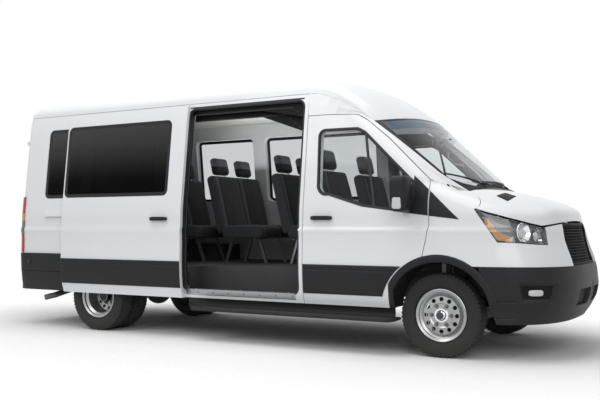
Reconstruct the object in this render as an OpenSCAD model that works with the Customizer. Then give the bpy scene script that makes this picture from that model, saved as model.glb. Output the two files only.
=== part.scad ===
// Long passenger van: hollow body on a ladder underbody, twin rear wheels, hinged doors and hood.
// Millimetres. X runs forward, Y to the left, Z up. The origin is on the road, under the middle of the van.

/* [Overall] */
// Distance between the axles
wheelbase = 3750; // [3650:10:3950]
// From the front axle to the foremost point of the front bumper
front_overhang = 1023; // [1000:1:1050]
// From the rear axle to the rearmost point of the rear bumper
rear_overhang = 1208; // [1170:1:1300]
// Width of the body at its widest, without mirrors
body_w = 2060; // [2040:2:2100]
// Height of the roof's crown above the road
body_h = 2470; // [2440:5:2560]
// Underside of the sills above the road
sill_z = 395; // [380:1:410]
// Top of the load floor above the road
floor_z = 690; // [670:1:710]

/* [Panels] */
// Thickness of the side walls
wall_t = 70; // [55:1:74]
// Thickness of the front doors
door_t = 90; // [70:1:100]
// Thickness of the rear doors
rear_door_t = 65; // [50:1:75]
// Thickness of the sliding door
slider_t = 62; // [50:1:66]
// Open gap around the moving panels
gap = 7; // [6:0.5:9]
// Thickness of the window glass
glass_t = 6; // [4:0.5:8]
// How far the lower cladding stands off the panel
cladding_t = 14; // [8:1:18]
// Clearance between pieces that seat on each other
fit = 0.3; // [0.2:0.05:0.5]

/* [Wheels] */
// Outer diameter of a tyre
tyre_d = 700; // [680:2:720]
// Width of a tyre
tyre_w = 195; // [185:1:205]
// Diameter of the rim where the tyre's bead sits
rim_d = 406; // [400:1:420]
// Distance from the centre line to the middle of a front tyre
front_wheel_y = 866; // [855:1:880]
// Distance from the centre line to the middle of an outer rear tyre
rear_wheel_y = 906; // [895:1:915]
// Distance between the middles of twin rear tyres
twin_pitch = 224; // [215:1:235]
// Number of holes in a wheel disc
hole_count = 12; // [8:1:16]
// Radius of the holes in a wheel disc
hole_r = 18; // [12:0.5:22]
// Number of wheel nuts
nut_count = 6; // [5:1:8]
// Radius of a hub spindle
spindle_r = 32; // [28:0.5:36]
// Radius of a steering pin
kingpin_r = 14; // [12:0.5:16]
// Distance from the centre line to a steering pin
kingpin_y = 735; // [725:1:740]

/* [Side opening] */
// Width of the doorway for the sliding door
doorway_w = 1310; // [1250:5:1350]
// Length of the sliding door
slider_w = 1600; // [1500:5:1640]
// How far the sliding door has travelled back
slider_travel = 1262; // [1240:1:1290]

/* [Seats] */
// Width of a front seat
front_seat_w = 520; // [460:5:540]
// Width of a two-place bench
bench_w = 920; // [850:5:960]
// Distance between the bench rows
row_pitch = 830; // [780:5:860]
// Number of bench rows
row_count = 4; // [3:1:4]

/* [Hidden] */
$fn = 48;

axle_z = tyre_d / 2;
half_w = body_w / 2;
front_axle_x = (wheelbase + rear_overhang - front_overhang) / 2;
rear_axle_x = -wheelbase;
bumper_rear_x = -(wheelbase + rear_overhang);
rear_face_x = bumper_rear_x + 88;
corner_r = 75;
corner_x = rear_face_x + corner_r;
gutter_drop = 180;
gutter_z = body_h - gutter_drop;
big = 4000;

// Flank of the body, from the sill to the gutter: height, inset from the widest line
flank = [[300, 60], [sill_z, 46], [480, 20], [620, 5], [760, 0], [1040, 0], [1120, 8], [1220, 14],
  [1400, 34], [gutter_z - 290, 104], [gutter_z - 110, 128], [gutter_z, 150]];

// Roof's cross-section, from the gutter to the crown: half width at the gutter's share, drop below the crown
roof_section = [[1, gutter_drop], [0.985, 122], [0.935, 72], [0.83, 38], [0.53, 11], [0.27, 3], [0, 0]];

// Front of the body in level lines: height, foremost x, reach of the rounding, squareness of the corner
levels = [[290, front_overhang - 118, 1500, 2.6], [420, front_overhang - 38, 1600, 2.6],
  [600, front_overhang, 1700, 2.6], [760, front_overhang - 15, 1800, 2.6],
  [960, front_overhang - 83, 1840, 2.6], [1120, front_overhang - 130, 1820, 2.5],
  [1200, front_overhang - 188, 1740, 2.4], [1330, 520, 1420, 2.2], [1440, 215, 1100, 2],
  [1500, 158, 1060, 2], [2090, -445, 1320, 2]];
bow = 6.8;

// A smooth curve through a table's column, by cubic pieces with the tables' own slopes
function piece(t, z, i = 0) = (i >= len(t) - 2 || z < t[i + 1][0]) ? i : piece(t, z, i + 1);
function slope(t, i, c) =
  let (a = max(i - 1, 0), b = min(i + 1, len(t) - 1)) (t[b][c] - t[a][c]) / (t[b][0] - t[a][0]);
function curve(t, z, c = 1) =
  let (i = piece(t, z), h = t[i + 1][0] - t[i][0], u = min(1, max(0, (z - t[i][0]) / h)))
  t[i][c] * (1 + 2 * u) * pow(1 - u, 2) + slope(t, i, c) * h * u * pow(1 - u, 2)
  + t[i + 1][c] * u * u * (3 - 2 * u) - slope(t, i + 1, c) * h * u * u * (1 - u);
function mix(a, b, k) = a + (b - a) * k;

// Half width of the straight body at a height, and its rounding at the rear corner
function wall_y(z) = half_w - curve(flank, z);
function corner_inset(x) =
  x > corner_x ? 0 : corner_r - sqrt(max(0, pow(corner_r, 2) - pow(corner_x - x, 2)));

// The body's outer face: its half width at a place along the side, and its foremost x across the front
function side_y(x, z) =
  let (r = curve(levels, z, 2), u = (x - curve(levels, z) + r) / r, q = curve(levels, z, 3))
  u <= 0 ? wall_y(z) - corner_inset(x) : wall_y(z) * pow(max(0, 1 - pow(min(u, 1), bow)), 1 / q);
function front_x(y, z) =
  let (r = curve(levels, z, 2), q = curve(levels, z, 3), s = min(1, abs(y) / wall_y(z)))
  curve(levels, z) - r * (1 - pow(max(0, 1 - pow(s, q)), 1 / bow));

// A place on the front given by its distance along the side or by its distance from the centre line:
// ["x", 300] lies 300 in front of the axle, ["y", 400] lies 400 to the left of the centre line
function on_front(at, z) =
  at[0] == "x" ? [at[1], side_y(at[1], z), z] : [front_x(at[1], z), at[1], z];

// A solid between an outer and an inner grid of points: columns run forward along the left side
module slab(outer, inner) {
  n = len(outer);
  m = len(outer[0]);
  off = n * m;
  points = concat([for (c = outer) for (p = c) p], [for (c = inner) for (p = c) p]);
  function o(i, j) = i * m + j;
  function q(i, j) = off + i * m + j;
  quads = concat(
    [for (i = [0:n - 2]) for (j = [0:m - 2]) [o(i, j), o(i + 1, j), o(i + 1, j + 1), o(i, j + 1)]],
    [for (i = [0:n - 2]) for (j = [0:m - 2]) [q(i, j), q(i, j + 1), q(i + 1, j + 1), q(i + 1, j)]],
    [for (i = [0:n - 2]) [o(i + 1, 0), o(i, 0), q(i, 0), q(i + 1, 0)]],
    [for (i = [0:n - 2]) [o(i, m - 1), o(i + 1, m - 1), q(i + 1, m - 1), q(i, m - 1)]],
    [for (j = [0:m - 2]) [o(0, j), o(0, j + 1), q(0, j + 1), q(0, j)]],
    [for (j = [0:m - 2]) [o(n - 1, j + 1), o(n - 1, j), q(n - 1, j), q(n - 1, j + 1)]]);
  polyhedron(points, [for (f = quads) each [[f[0], f[1], f[2]], [f[0], f[2], f[3]]]]);
}

// A prism across the van through an outline of x and z, from y to y + depth
module across(outline, y, depth) translate([0, y + depth, 0]) rotate([90, 0, 0]) linear_extrude(depth)
  polygon(outline);

// A prism along the van through an outline of y and z, from x to x + length
module along(outline, x, length) translate([x, 0, 0]) rotate([90, 0, 90]) linear_extrude(length)
  polygon(outline);

// Points of an arc, and an outline with its corners rounded
function arc(c, r, a, b, n = 8) = [for (i = [0:n]) let (t = mix(a, b, i / n)) c + r * [cos(t), sin(t)]];
module rounded_prism(x0, x1, z0, z1, r, y, depth) translate([0, y + depth, 0]) rotate([90, 0, 0])
  linear_extrude(depth) rounded_rect(x0, x1, z0, z1, r);
module rounded_rect(x0, x1, z0, z1, r) polygon(concat(
  arc([x1 - r, z1 - r], r, 0, 90, 5), arc([x0 + r, z1 - r], r, 90, 180, 5),
  arc([x0 + r, z0 + r], r, 180, 270, 5), arc([x1 - r, z0 + r], r, 270, 360, 5)));

// Everything is drawn from the front axle and set in the van's own frame
module placed() translate([front_axle_x, 0, 0]) children();
module both() {
  children();
  mirror([0, 1, 0]) children();
}

// Cab: places of its splits, measured from the front axle
pillar_x = -1270;
door_rear_x = pillar_x + gap;
arch_r = 505;
arch_foot_x = 440;
arch_meet_x = 137;
arch_centre = [0, axle_z];
door_top_z = 2078;
screen_low_z = 1440;
screen_high_z = 2080;
screen_low_w = 815;
screen_high_w = 838;
screen_low_drop = 60;
screen_high_drop = 68;

// Front door's outline, from its lower rear corner round the wheel arch and up the windscreen pillar
arch_a = 180 - acos(arch_foot_x / arch_r);
arch_b = 90 + asin(arch_meet_x / arch_r);
door_edge = [[-81, 1088], [-84, 1300], [-101, 1472]];
pillar_line = [[-101, 1472], [-487, 1838], [-700, 2012], [-790, 2066], [-1100, door_top_z],
  [door_rear_x, door_top_z]];
door_outline = concat([[door_rear_x, sill_z], [-arch_foot_x, sill_z]],
  arc(arch_centre, arch_r, arch_a, arch_b, 8), door_edge,
  [for (i = [1:len(pillar_line) - 1]) pillar_line[i]]);
sail_x = -225;
door_window = concat(arc([-1082, 1885], 60, 180, 90, 4), [[-770, 1945], [-700, 1908], [sail_x, 1459],
  [sail_x, 1275], [-381, 1222], [-687, 1263], [-900, 1328]], arc([-1040, 1452], 90, 285, 190, 4));

// Heights along the flank at which the panels bend
flank_rows = [for (r = flank) if (r[0] >= sill_z && r[0] <= gutter_z) r[0]];
skin = [for (z = flank_rows) [z, wall_y(z)]];
function skin_y(z) = lookup(z, skin);
function section(z_list, outer, inner) =
  concat([for (z = z_list) [skin_y(z) + outer, z]],
    [for (i = [len(z_list) - 1:-1:0]) [skin_y(z_list[i]) + inner, z_list[i]]]);
function rows_between(low, high) =
  concat([low], [for (z = flank_rows) if (z > low + 1 && z < high - 1) z], [high]);

// Side windows: front edge, rear edge, set from the door pillar, the rear axle and the rear corner
window_low_z = 1385;
window_high_z = gutter_z - 155;
window_r = 60;
pillar_w = 130;
axle_window = [740, -100];
post_w = 150;
rear_post_w = 235;
left_windows = [[pillar_x - pillar_w, rear_axle_x + axle_window[0] + post_w + 10],
  [rear_axle_x + axle_window[0], rear_axle_x + axle_window[1]],
  [rear_axle_x + axle_window[1] - post_w + 10, corner_x + rear_post_w]];
right_windows = [left_windows[1], left_windows[2]];

// Doorway for the sliding door
doorway_front_x = pillar_x - 40;
doorway_rear_x = doorway_front_x - doorway_w;
doorway_low_z = 470;
doorway_high_z = gutter_z - 55;
doorway_r = 70;
rear_arch_r = 440;

// Sliding door at its stored place
slider_front_x = pillar_x - slider_travel;
slider_rear_x = slider_front_x - slider_w;
slider_stand = 24;
slider_high_z = gutter_z - 28;

module wall_half(windows) {
  difference() {
    union() {
      along(section(rows_between(sill_z, gutter_z - fit), 0, -wall_t), corner_x, pillar_x - corner_x);
      rear_corner();
    }
    for (w = windows)
      rounded_prism(w[1], w[0], window_low_z, window_high_z, window_r, 0, big);
    translate([rear_axle_x, 0, axle_z])
      rotate([-90, 0, 0]) cylinder(r = rear_arch_r, h = big);
  }
}

// Rear corner pillar: the flank turned round the corner, with the flat beside the rear door
rear_pillar_w = 150;
function corner_point(a, z, out) =
  [corner_x - (corner_r + out) * sin(a), skin_y(z) - corner_r + (corner_r + out) * cos(a), z];
function rear_corner_grid(out) = let (rows = rows_between(sill_z, gutter_z - fit)) concat(
  [[for (z = rows) [rear_face_x - out, skin_y(z) - rear_pillar_w + gap, z]]],
  [for (a = [90:-22.5:0]) [for (z = rows) corner_point(a, z, out)]]);
module rear_corner() slab(rear_corner_grid(0), rear_corner_grid(-wall_t));

// Hinges of the rear doors: a barrel in two halves on a bracket behind the corner pillar
rear_hinges = [760, 1440, 1990];
hinge_x = rear_face_x - 16;
hinge_y = half_w - rear_pillar_w + gap / 2;
barrel_r = 13;
barrel_h = 44;
ear_t = 7;
arm_root_w = 22;
module rear_barrel(z) translate([hinge_x, hinge_y, z]) cylinder(r = barrel_r, h = barrel_h);
module pillar_ears() for (z = rear_hinges) {
  rear_barrel(z - barrel_h - fit);
  box(hinge_x - ear_t, rear_face_x + 12, hinge_y + gap / 2, hinge_y + 26, z - barrel_h - fit, z - fit);
}
module door_arms() for (z = rear_hinges) {
  root_y = skin_y(z + barrel_h) - rear_pillar_w - 5;
  rear_barrel(z + fit);
  box(hinge_x - ear_t, hinge_x + ear_t, root_y - arm_root_w, hinge_y, z + fit, z + fit + barrel_h);
  box(hinge_x - ear_t, rear_face_x + 1, root_y - arm_root_w, root_y, z + fit, z + fit + barrel_h);
}

module left_side() color("white") placed() {
  wall_half(left_windows);
  pillar_ears();
}

module right_side() color("white") placed() mirror([0, 1, 0]) {
  difference() {
    wall_half(right_windows);
    rounded_prism(doorway_rear_x, doorway_front_x, doorway_low_z, doorway_high_z, doorway_r, 0, big);
  }
  pillar_ears();
}

// Roof: one arched panel from the rear doors to the windscreen
roof_t = 45;
roof_turn = [0, 30, 55, 75, 88, 90, 90];
gutter_w = wall_y(gutter_z);
roof_cap_rows = 6;
cap_fall = 1.8;
function screen_top_z(y) = screen_high_z - screen_high_drop * pow(y / screen_high_w, 2);
function cap_point(i, k) = let (
    s = roof_section[i],
    y_rear = gutter_w * s[0],
    z_rear = body_h - s[1],
    y_front = screen_high_w * s[0],
    z_front = screen_top_z(y_front),
    x_front = front_x(y_front, z_front))
  [mix(pillar_x, x_front, k), mix(y_rear, y_front, k * k), mix(z_front, z_rear, 1 - pow(k, cap_fall))];
function flipped(p) = [p[0], -p[1], p[2]];
function roof_point(i, row, deep) = let (
    last = roof_cap_rows + 1,
    cap = cap_point(i, max(0, row - 1) / roof_cap_rows),
    at = row == 0 ? [rear_face_x, cap[1], cap[2]] : cap,
    turn = roof_turn[i])
  at - deep * roof_t * (row == last ? [1, cos(turn) / 2, sin(turn) / 2] : [0, cos(turn), sin(turn)]);
roof_half = len(roof_section) - 1;
function roof_grid(deep) = [for (row = [0:roof_cap_rows + 1]) concat(
  [for (i = [0:roof_half]) roof_point(i, row, deep)],
  [for (i = [roof_half - 1:-1:0]) flipped(roof_point(i, row, deep))])];

// Header over the rear doors, closed up to the roof
rear_door_low_z = 560;
rear_door_high_z = gutter_z - 60;
header_w = wall_y(gutter_z) - rear_pillar_w - gap;
function header_point(i, s) =
  [s * gutter_w * roof_section[i][0], body_h - roof_section[i][1] - roof_t / 2];
header_outline = concat([[-header_w, rear_door_high_z + gap], [header_w, rear_door_high_z + gap],
    [header_w, gutter_z + 10]],
  [for (i = [1:roof_half]) header_point(i, 1)], [for (i = [roof_half - 1:-1:1]) header_point(i, -1)],
  [[-header_w, gutter_z + 10]]);
module roof() color("white") placed() {
  slab(roof_grid(0), roof_grid(1));
  along(header_outline, rear_face_x, wall_t);
}

// Cab frame: rails over the front doors, windscreen pillars and the wall in front of the cab
pillar_t = 45;
function screen_bottom_z(y) = screen_low_z - screen_low_drop * pow(y / screen_low_w, 2);
function screen_point(s, k) = let (
    w = mix(screen_low_w, screen_high_w, k),
    y = s * w,
    z = mix(screen_bottom_z(s * screen_low_w), screen_top_z(s * screen_high_w), k))
  [front_x(y, z), y, z];
// Shares along the roof's edge and, from the top down, along the screen's edge
rail_steps = [for (row = [0:roof_cap_rows - 1]) row / roof_cap_rows];
screen_steps = [1, 0.75, 0.5, 0.25, 0];
function above_door(p) = p + gap * [0.6, 1];
frame_low = [for (p = [[pillar_x, door_top_z], [-1180, door_top_z], [-1100, door_top_z], [-1000, 2074],
  [-900, 2070], [-790, 2066], [-700, 2012], [-594, 1925], [-487, 1838], [-294, 1655], [-101, 1472]])
  above_door(p)];
frame_high = concat([for (k = rail_steps) cap_point(0, k) - [0, 0, fit]],
  [for (k = screen_steps) screen_point(1, k)]);
function frame_grid(deep) = [for (i = [0:len(frame_low) - 1]) let (
    a = frame_low[i], b = frame_high[i], m = mix(a, [b[0], b[2]], 0.5),
    in = deep * pillar_t,
    edge = i < len(rail_steps) ? [0, in, 0] : in * [0.7, 0, 0.7])
  [[a[0], side_y(a[0], a[1]) - in, a[1]], [m[0], side_y(m[0], m[1]) - in, m[1]], b - edge]];
firewall_x = -150;
firewall_t = 30;
firewall_w = 500;
firewall_high_z = 1270;
module cab_frame() color("white") placed() {
  both() slab(frame_grid(0), frame_grid(1));
  box(firewall_x, firewall_x + firewall_t, -firewall_w, firewall_w, floor_low_z + 2, firewall_high_z);
}

screen_fit = 0.9993;
screen_shares = concat([for (i = [0:roof_half]) roof_section[i][0]],
  [for (i = [roof_half - 1:-1:0]) -roof_section[i][0]]);
module windscreen() color("lightblue", 0.4) placed() {
  grid = [for (s = screen_shares) [for (k = [0:0.25:1])
    screen_point(s * screen_fit, mix(1 - screen_fit, screen_fit, k))]];
  slab(grid, [for (c = grid) [for (p = c) p - 0.7 * glass_t * [1, 0, 1]]]);
}

// Front wings: place along the panel, lowest and highest height there
bumper_top_z = 763;
function arch_z(x) = axle_z + sqrt(pow(arch_r, 2) - x * x);
door_edge_by_z = [[836, -137], [1088, -81], [1300, -84], [1472, -101]];
function station(at, z) =
  at[0] == "edge" ? let (x = lookup(z, door_edge_by_z) + gap) [x, side_y(x, z), z]
  : at[0] == "grille" ? let (y = lookup(z, grille_half) + at[1]) [front_x(y, z), y, z]
  : on_front(at, z);
wing_low_z = bumper_top_z + fit;
wing = [[["edge", 0], 838, 1470], [["x", -60], arch_z(-60), 1457], [["x", -15], arch_z(-15), 1443],
  [["x", 30], arch_z(30), 1422], [["x", 90], arch_z(90), 1388],
  [["x", 150], arch_z(150), 1362], [["x", 220], arch_z(220), 1296], [["x", 290], arch_z(290), 1222],
  [["x", 385], wing_low_z, 1092], [["x", 478], wing_low_z, 957], [["y", 900], wing_low_z, 950],
  [["y", 800], wing_low_z, 938], [["y", 716], wing_low_z, 934], [["y", 690], wing_low_z, 1076],
  [["y", 600], wing_low_z, 1089], [["y", 500], wing_low_z, 1099], [["grille", 14], wing_low_z, 1104]];
function patch(table, rows) = [for (s = table) [for (j = [0:rows]) station(s[0], mix(s[1], s[2], j / rows))]];
// Depth of a front panel: straight in from the side, straight back at the nose
function unit(a, b, v) = min(1, max(0, (v - a) / (b - a)));
function tuck(p, t) = [p[0] - 22 * t * unit(300, 420, p[0]),
  p[1] - 30 * t * unit(440, 700, abs(p[1])) * sign(p[1]), p[2]];
function tucked(grid, t) = [for (c = grid) [for (p = c) tuck(p, t)]];
// Pin of the front door's hinge, in the gap behind the wing
pin_x = -77.4;
pin_y = half_w - 7.5;
pin_r = 3.4;
pin_z = 1084;
pin_h = 28;
module front_wings() color("white") placed() both() {
  grid = patch(wing, 5);
  slab(grid, tucked(grid, 1));
  translate([pin_x, pin_y, pin_z]) cylinder(r = pin_r, h = pin_h, $fn = 16);
}

lamp = [[["x", 306], 1206, 1212], [["x", 385], 1093, 1188], [["x", 478], 958, 1163],
  [["y", 900], 951, 1139], [["y", 800], 939, 1097], [["y", 722], 935, 1076]];
module headlamps() color("silver") placed() both() {
  grid = patch(lamp, 4);
  slab(grid, tucked(grid, 2));
}

// Hood: its lower edge round the nose and its rear edge at the cowl
hood_low = [[["x", 300], 1232], [["x", 385], 1203], [["x", 478], 1178], [["y", 900], 1154],
  [["y", 800], 1112], [["y", 716], 1090], [["y", 600], 1103], [["y", 480], 1114], [["y", 330], 1124],
  [["y", 160], 1130], [["y", 0], 1132]];
hood_rear = [[800, 1378], [785, 1381], [760, 1385], [720, 1389], [640, 1394], [540, 1399], [440, 1402],
  [330, 1405], [220, 1407], [110, 1408], [0, 1408]];
hood_rows = 6;
hood_half = len(hood_low) - 1;
function hood_point(i, k) = let (a = station(hood_low[i][0], hood_low[i][1]), b = hood_rear[i],
    y = mix(a[1], b[0], k), z = mix(a[2], b[1], k)) [front_x(y, z), y, z];
hood_grid = concat([for (i = [0:hood_half]) [for (j = [0:hood_rows]) hood_point(i, j / hood_rows)]],
  [for (i = [hood_half - 1:-1:0]) [for (j = [0:hood_rows]) flipped(hood_point(i, j / hood_rows))]]);
hood_t = 25;
module hood() color("white") placed() slab(hood_grid, [for (c = hood_grid) [for (j = [0:hood_rows])
  mix(tuck(c[j], 1), c[j] - [0, 0, hood_t], j / hood_rows)]]);

// Cowl between the hood and the windscreen, with the wipers lying on it
cowl_t = 18;
screen_step = 5;
hood_pin = [206.4, 786, 1382];
hood_pin_r = 3.5;
hood_pin_l = 14;
function cowl_point(i, k) = let (s = hood_rear[i], a = [front_x(s[0], s[1]), s[0], s[1]] - [gap, 0, 0],
    b = screen_point(min(1, s[0] / screen_low_w), 0) - [0, 0, screen_step]) mix(a, b, k);
cowl_grid = concat([for (i = [0:hood_half]) [for (j = [0:2]) cowl_point(i, j / 2)]],
  [for (i = [hood_half - 1:-1:0]) [for (j = [0:2]) flipped(cowl_point(i, j / 2))]]);
module cowl() color("dimgray") placed() {
  slab(cowl_grid, [for (c = cowl_grid) [for (p = c) p - [0, 0, cowl_t]]]);
  both() translate(hood_pin) rotate([-90, 0, 0]) cylinder(r = hood_pin_r, h = hood_pin_l, $fn = 16);
}

// Grille: bars across the nose, each bar a step in the panel
grille_rows = [775, 800, 800, 845, 845, 880, 880, 925, 925, 960, 960, 1005, 1005, 1040, 1040, 1075, 1075,
  1100];
grille_half = [[775, 330], [1000, 428], [1100, 400]];
bar_depth = 28;
grille_t = 40;
function grille_point(s, j) = let (z = grille_rows[j] + (j % 2 == 1 ? 0 : 2), w = lookup(z, grille_half),
  deep = floor(j / 2) % 2 == 1 ? bar_depth : 0) [front_x(s * w, z) - deep, s * w, z];
module grille() color("black") placed() {
  grid = [for (s = [1:-0.25:-1]) [for (j = [0:len(grille_rows) - 1]) grille_point(s, j)]];
  slab(grid, [for (c = grid) [for (p = c) [front_x(p[1], p[2]) - bar_depth - grille_t, p[1], p[2]]]]);
}

// Front bumper: wraps from one wheel arch to the other
bumper_rows = [300, 350, 420, 500, 600, 700, bumper_top_z];
bumper_edge = [[300, 462], [bumper_top_z, 335]];
bumper_at = [["edge", 0], ["x", 560], ["x", 660], ["y", 880], ["y", 800], ["y", 650], ["y", 450], ["y", 220],
  ["y", 0]];
function bumper_point(i, z) =
  bumper_at[i][0] == "edge" ? let (x = lookup(z, bumper_edge)) [x, side_y(x, z), z]
  : on_front(bumper_at[i], z);
bumper_half = len(bumper_at) - 1;
bumper_t = 60;
bumper_grid = concat([for (i = [0:bumper_half]) [for (z = bumper_rows) bumper_point(i, z)]],
  [for (i = [bumper_half - 1:-1:0]) [for (z = bumper_rows) flipped(bumper_point(i, z))]]);
function bumper_in(p) = [p[0] - bumper_t * unit(470, 700, p[0]), p[1] * (1 - 45 / half_w), p[2]];
// Sunk field for a fog lamp in the bumper's face
fog_y = [760, 545];
fog_z = [440, 560];
fog_depth = 32;
function fog_grid(out) = [for (k = [0:0.25:1]) [for (z = [fog_z[0], (fog_z[0] + fog_z[1]) / 2, fog_z[1]])
  let (y = mix(fog_y[0], fog_y[1], k)) [front_x(y, z) + out, y, z]]];
// Air opening through the bumper's middle, which is also the way to the tow eye's threaded hole
intake_w = 400;
intake_z = [430, 570];
tow_y = 330;
tow_z = 515;
tow_r = 10;
tow_l = 60;
module front_bumper() color("dimgray") placed() difference() {
  slab(bumper_grid, [for (c = bumper_grid) [for (p = c) bumper_in(p)]]);
  both() slab(fog_grid(60), fog_grid(-fog_depth));
  box(rail_front_x, big, -intake_w, intake_w, intake_z[0], intake_z[1]);
}

// Underbody: load floor, step well at the doorway, wheel boxes and two long rails
floor_t = 60;
floor_low_z = floor_z - floor_t;
floor_rear_x = rear_face_x + rear_door_t + 20;
floor_w = skin_y(floor_low_z) - wall_t - fit;
cab_floor_w = half_w - 110;
cab_floor_x = -430;
tunnel_w = 500;
wheel_box_l = 480;
wheel_box_y = 540;
wheel_box_z = 870;
wheel_box_t = 25;
step_y = 700;
step_z = doorway_low_z - 2;
step_t = 30;
step_out_y = skin_y(step_z - step_t) - wall_t - fit;
rail_y = 400;
rail_w = 80;
rail_low_z = 485;
rail_front_x = 800;
// Threaded holes for a hitch, from below into the ends of the rails
hitch_x = [rear_face_x + 170, rear_face_x + 290];
hitch_r = 8;
hitch_l = 60;
// Pads under the rails for a jack
jack_x = [-1000, rear_axle_x + 770];
jack_pad_l = 120;
jack_pad_t = 12;
module box(x0, x1, y0, y1, z0, z1) translate([x0, y0, z0]) cube([x1 - x0, y1 - y0, z1 - z0]);
module floor_pan() color("dimgray") placed() {
  difference() {
    union() {
      box(floor_rear_x, pillar_x, -floor_w, floor_w, floor_low_z, floor_z);
      box(pillar_x - 1, cab_floor_x, -cab_floor_w, cab_floor_w, floor_low_z, floor_z);
      box(cab_floor_x - 1, firewall_x - fit, -tunnel_w, tunnel_w, floor_low_z, floor_z);
      both() box(rear_axle_x - wheel_box_l, rear_axle_x + wheel_box_l, wheel_box_y, floor_w, floor_low_z,
        wheel_box_z);
    }
    both() box(rear_axle_x - wheel_box_l + wheel_box_t, rear_axle_x + wheel_box_l - wheel_box_t,
      wheel_box_y + wheel_box_t, big, 0, wheel_box_z - wheel_box_t);
    box(doorway_rear_x + step_t, doorway_front_x - step_t, -big, -step_y - step_t, 0, big);
  }
}

// Step in the doorway, hung below the floor
module side_step() color("dimgray") placed() difference() {
  box(doorway_rear_x, doorway_front_x, -step_out_y, -step_y, step_z - step_t, floor_low_z - fit);
  box(doorway_rear_x + step_t, doorway_front_x - step_t, -big, -step_y - step_t, step_z, big);
}

// Rails of the underbody joined by a beam, with jack pads, the tow eye's thread and the hitch's threads
module chassis_rails() color("dimgray") placed() difference() {
  union() {
    both() box(floor_rear_x, rail_front_x, rail_y, rail_y + rail_w, rail_low_z, floor_low_z - fit);
    box(rail_front_x - tow_l, rail_front_x, -rail_y - 1, rail_y + 1, rail_low_z, rail_low_z + 110);
    both() for (x = jack_x)
      box(x - jack_pad_l / 2, x + jack_pad_l / 2, rail_y, rail_y + rail_w, rail_low_z - jack_pad_t,
        rail_low_z + 1);
  }
  translate([rail_front_x - tow_l - 1, -tow_y, tow_z]) rotate([0, 90, 0]) cylinder(r = tow_r, h = big);
  both() for (x = hitch_x)
    translate([x, rail_y + rail_w / 2, 0]) cylinder(r = hitch_r, h = rail_low_z + hitch_l);
}

// Glass panes follow the flank, set in from the outer face
pane_in = 12;
module flank_pane(x0, x1, out) intersection() {
  along(section(rows_between(window_low_z - 50, window_high_z + 50), out, out - glass_t), x0, x1 - x0);
  rounded_prism(x0 + fit, x1 - fit, window_low_z + fit, window_high_z - fit, window_r - fit, 0, big);
}
module side_windows() color("darkslategray", 0.6) placed() {
  for (w = left_windows)
    flank_pane(w[1], w[0], -pane_in);
  mirror([0, 1, 0]) for (w = right_windows)
    flank_pane(w[1], w[0], -pane_in);
}

// Lower cladding and the flares round the front wheels
cladding_low_z = 490;
cladding_high_z = 750;
flare_in_r = 440;
flare_out = 10;
flare_in = 40;
flare_foot_x = 392;
strip_rows = rows_between(cladding_low_z, cladding_high_z);
module cladding_strip(x0, x1, out) along(section(strip_rows, out + cladding_t, out + fit), x0, x1 - x0);
flare_angles = [for (i = [0:8]) mix(148, 52, i / 8)];
flare_seat = 1.5;
function flare_edge(a) = arch_r - (arch_r * cos(a) < -arch_meet_x + 2 * gap ? gap : flare_seat);
flare_path = concat([[[-flare_foot_x, sill_z], [-arch_foot_x + gap, sill_z]],
    [[-flare_foot_x, 520], [-arch_foot_x + gap, 590]]],
  [for (a = flare_angles) let (d = [cos(a), sin(a)])
    [arch_centre + flare_in_r * d, arch_centre + flare_edge(a) * d]]);
function flare_grid(out) = [for (p = flare_path) [for (k = [0:0.5:1]) let (q = mix(p[0], p[1], k))
  [q[0], side_y(q[0], q[1]) + out, q[1]]]];
module body_cladding() color("dimgray") placed() {
  both() slab(flare_grid(flare_out), flare_grid(-flare_in));
  cladding_strip(rear_axle_x + rear_arch_r, pillar_x - 2, 0);
  mirror([0, 1, 0]) cladding_strip(rear_axle_x + rear_arch_r, doorway_rear_x, 0);
}

// Bumper across the rear: a beam below the doors and raised corners that run on to the wheel arches
rear_bumper_high_z = 550;
rear_bumper_corner_z = 795;
rear_bumper_out = 16;
rear_beam_w = half_w - 60;
rear_bumper_rows = rows_between(sill_z, rear_bumper_corner_z);
function rear_corner_shell(out) = [for (a = [90:-22.5:0])
  [for (z = rear_bumper_rows) corner_point(a, z, out)]];
rear_beam_half = [[bumper_rear_x, rear_beam_w - 400], [bumper_rear_x + 25, rear_beam_w - 140],
  [rear_face_x - rear_bumper_out, rear_beam_w], [rear_face_x - fit, rear_beam_w]];
module rear_bumper() color("dimgray") placed() {
  both() slab(rear_corner_shell(rear_bumper_out), rear_corner_shell(fit));
  both() along(section(rear_bumper_rows, rear_bumper_out, fit), corner_x - 1,
    rear_axle_x - rear_arch_r - corner_x + 1);
  translate([0, 0, sill_z]) linear_extrude(rear_bumper_high_z - sill_z) polygon(concat(rear_beam_half,
    [for (i = [len(rear_beam_half) - 1:-1:0]) [rear_beam_half[i][0], -rear_beam_half[i][1]]]));
}

// Tail lamps wrap round the rear corners
tail_low_z = 800;
tail_high_z = 1412;
tail_t = 14;
function tail_grid(out) = let (rows = rows_between(tail_low_z, tail_high_z))
  [for (a = [90:-22.5:0]) [for (z = rows) corner_point(a, z, out)]];
module tail_lamps() color("darkred") placed() both() slab(tail_grid(tail_t), tail_grid(fit));

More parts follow.
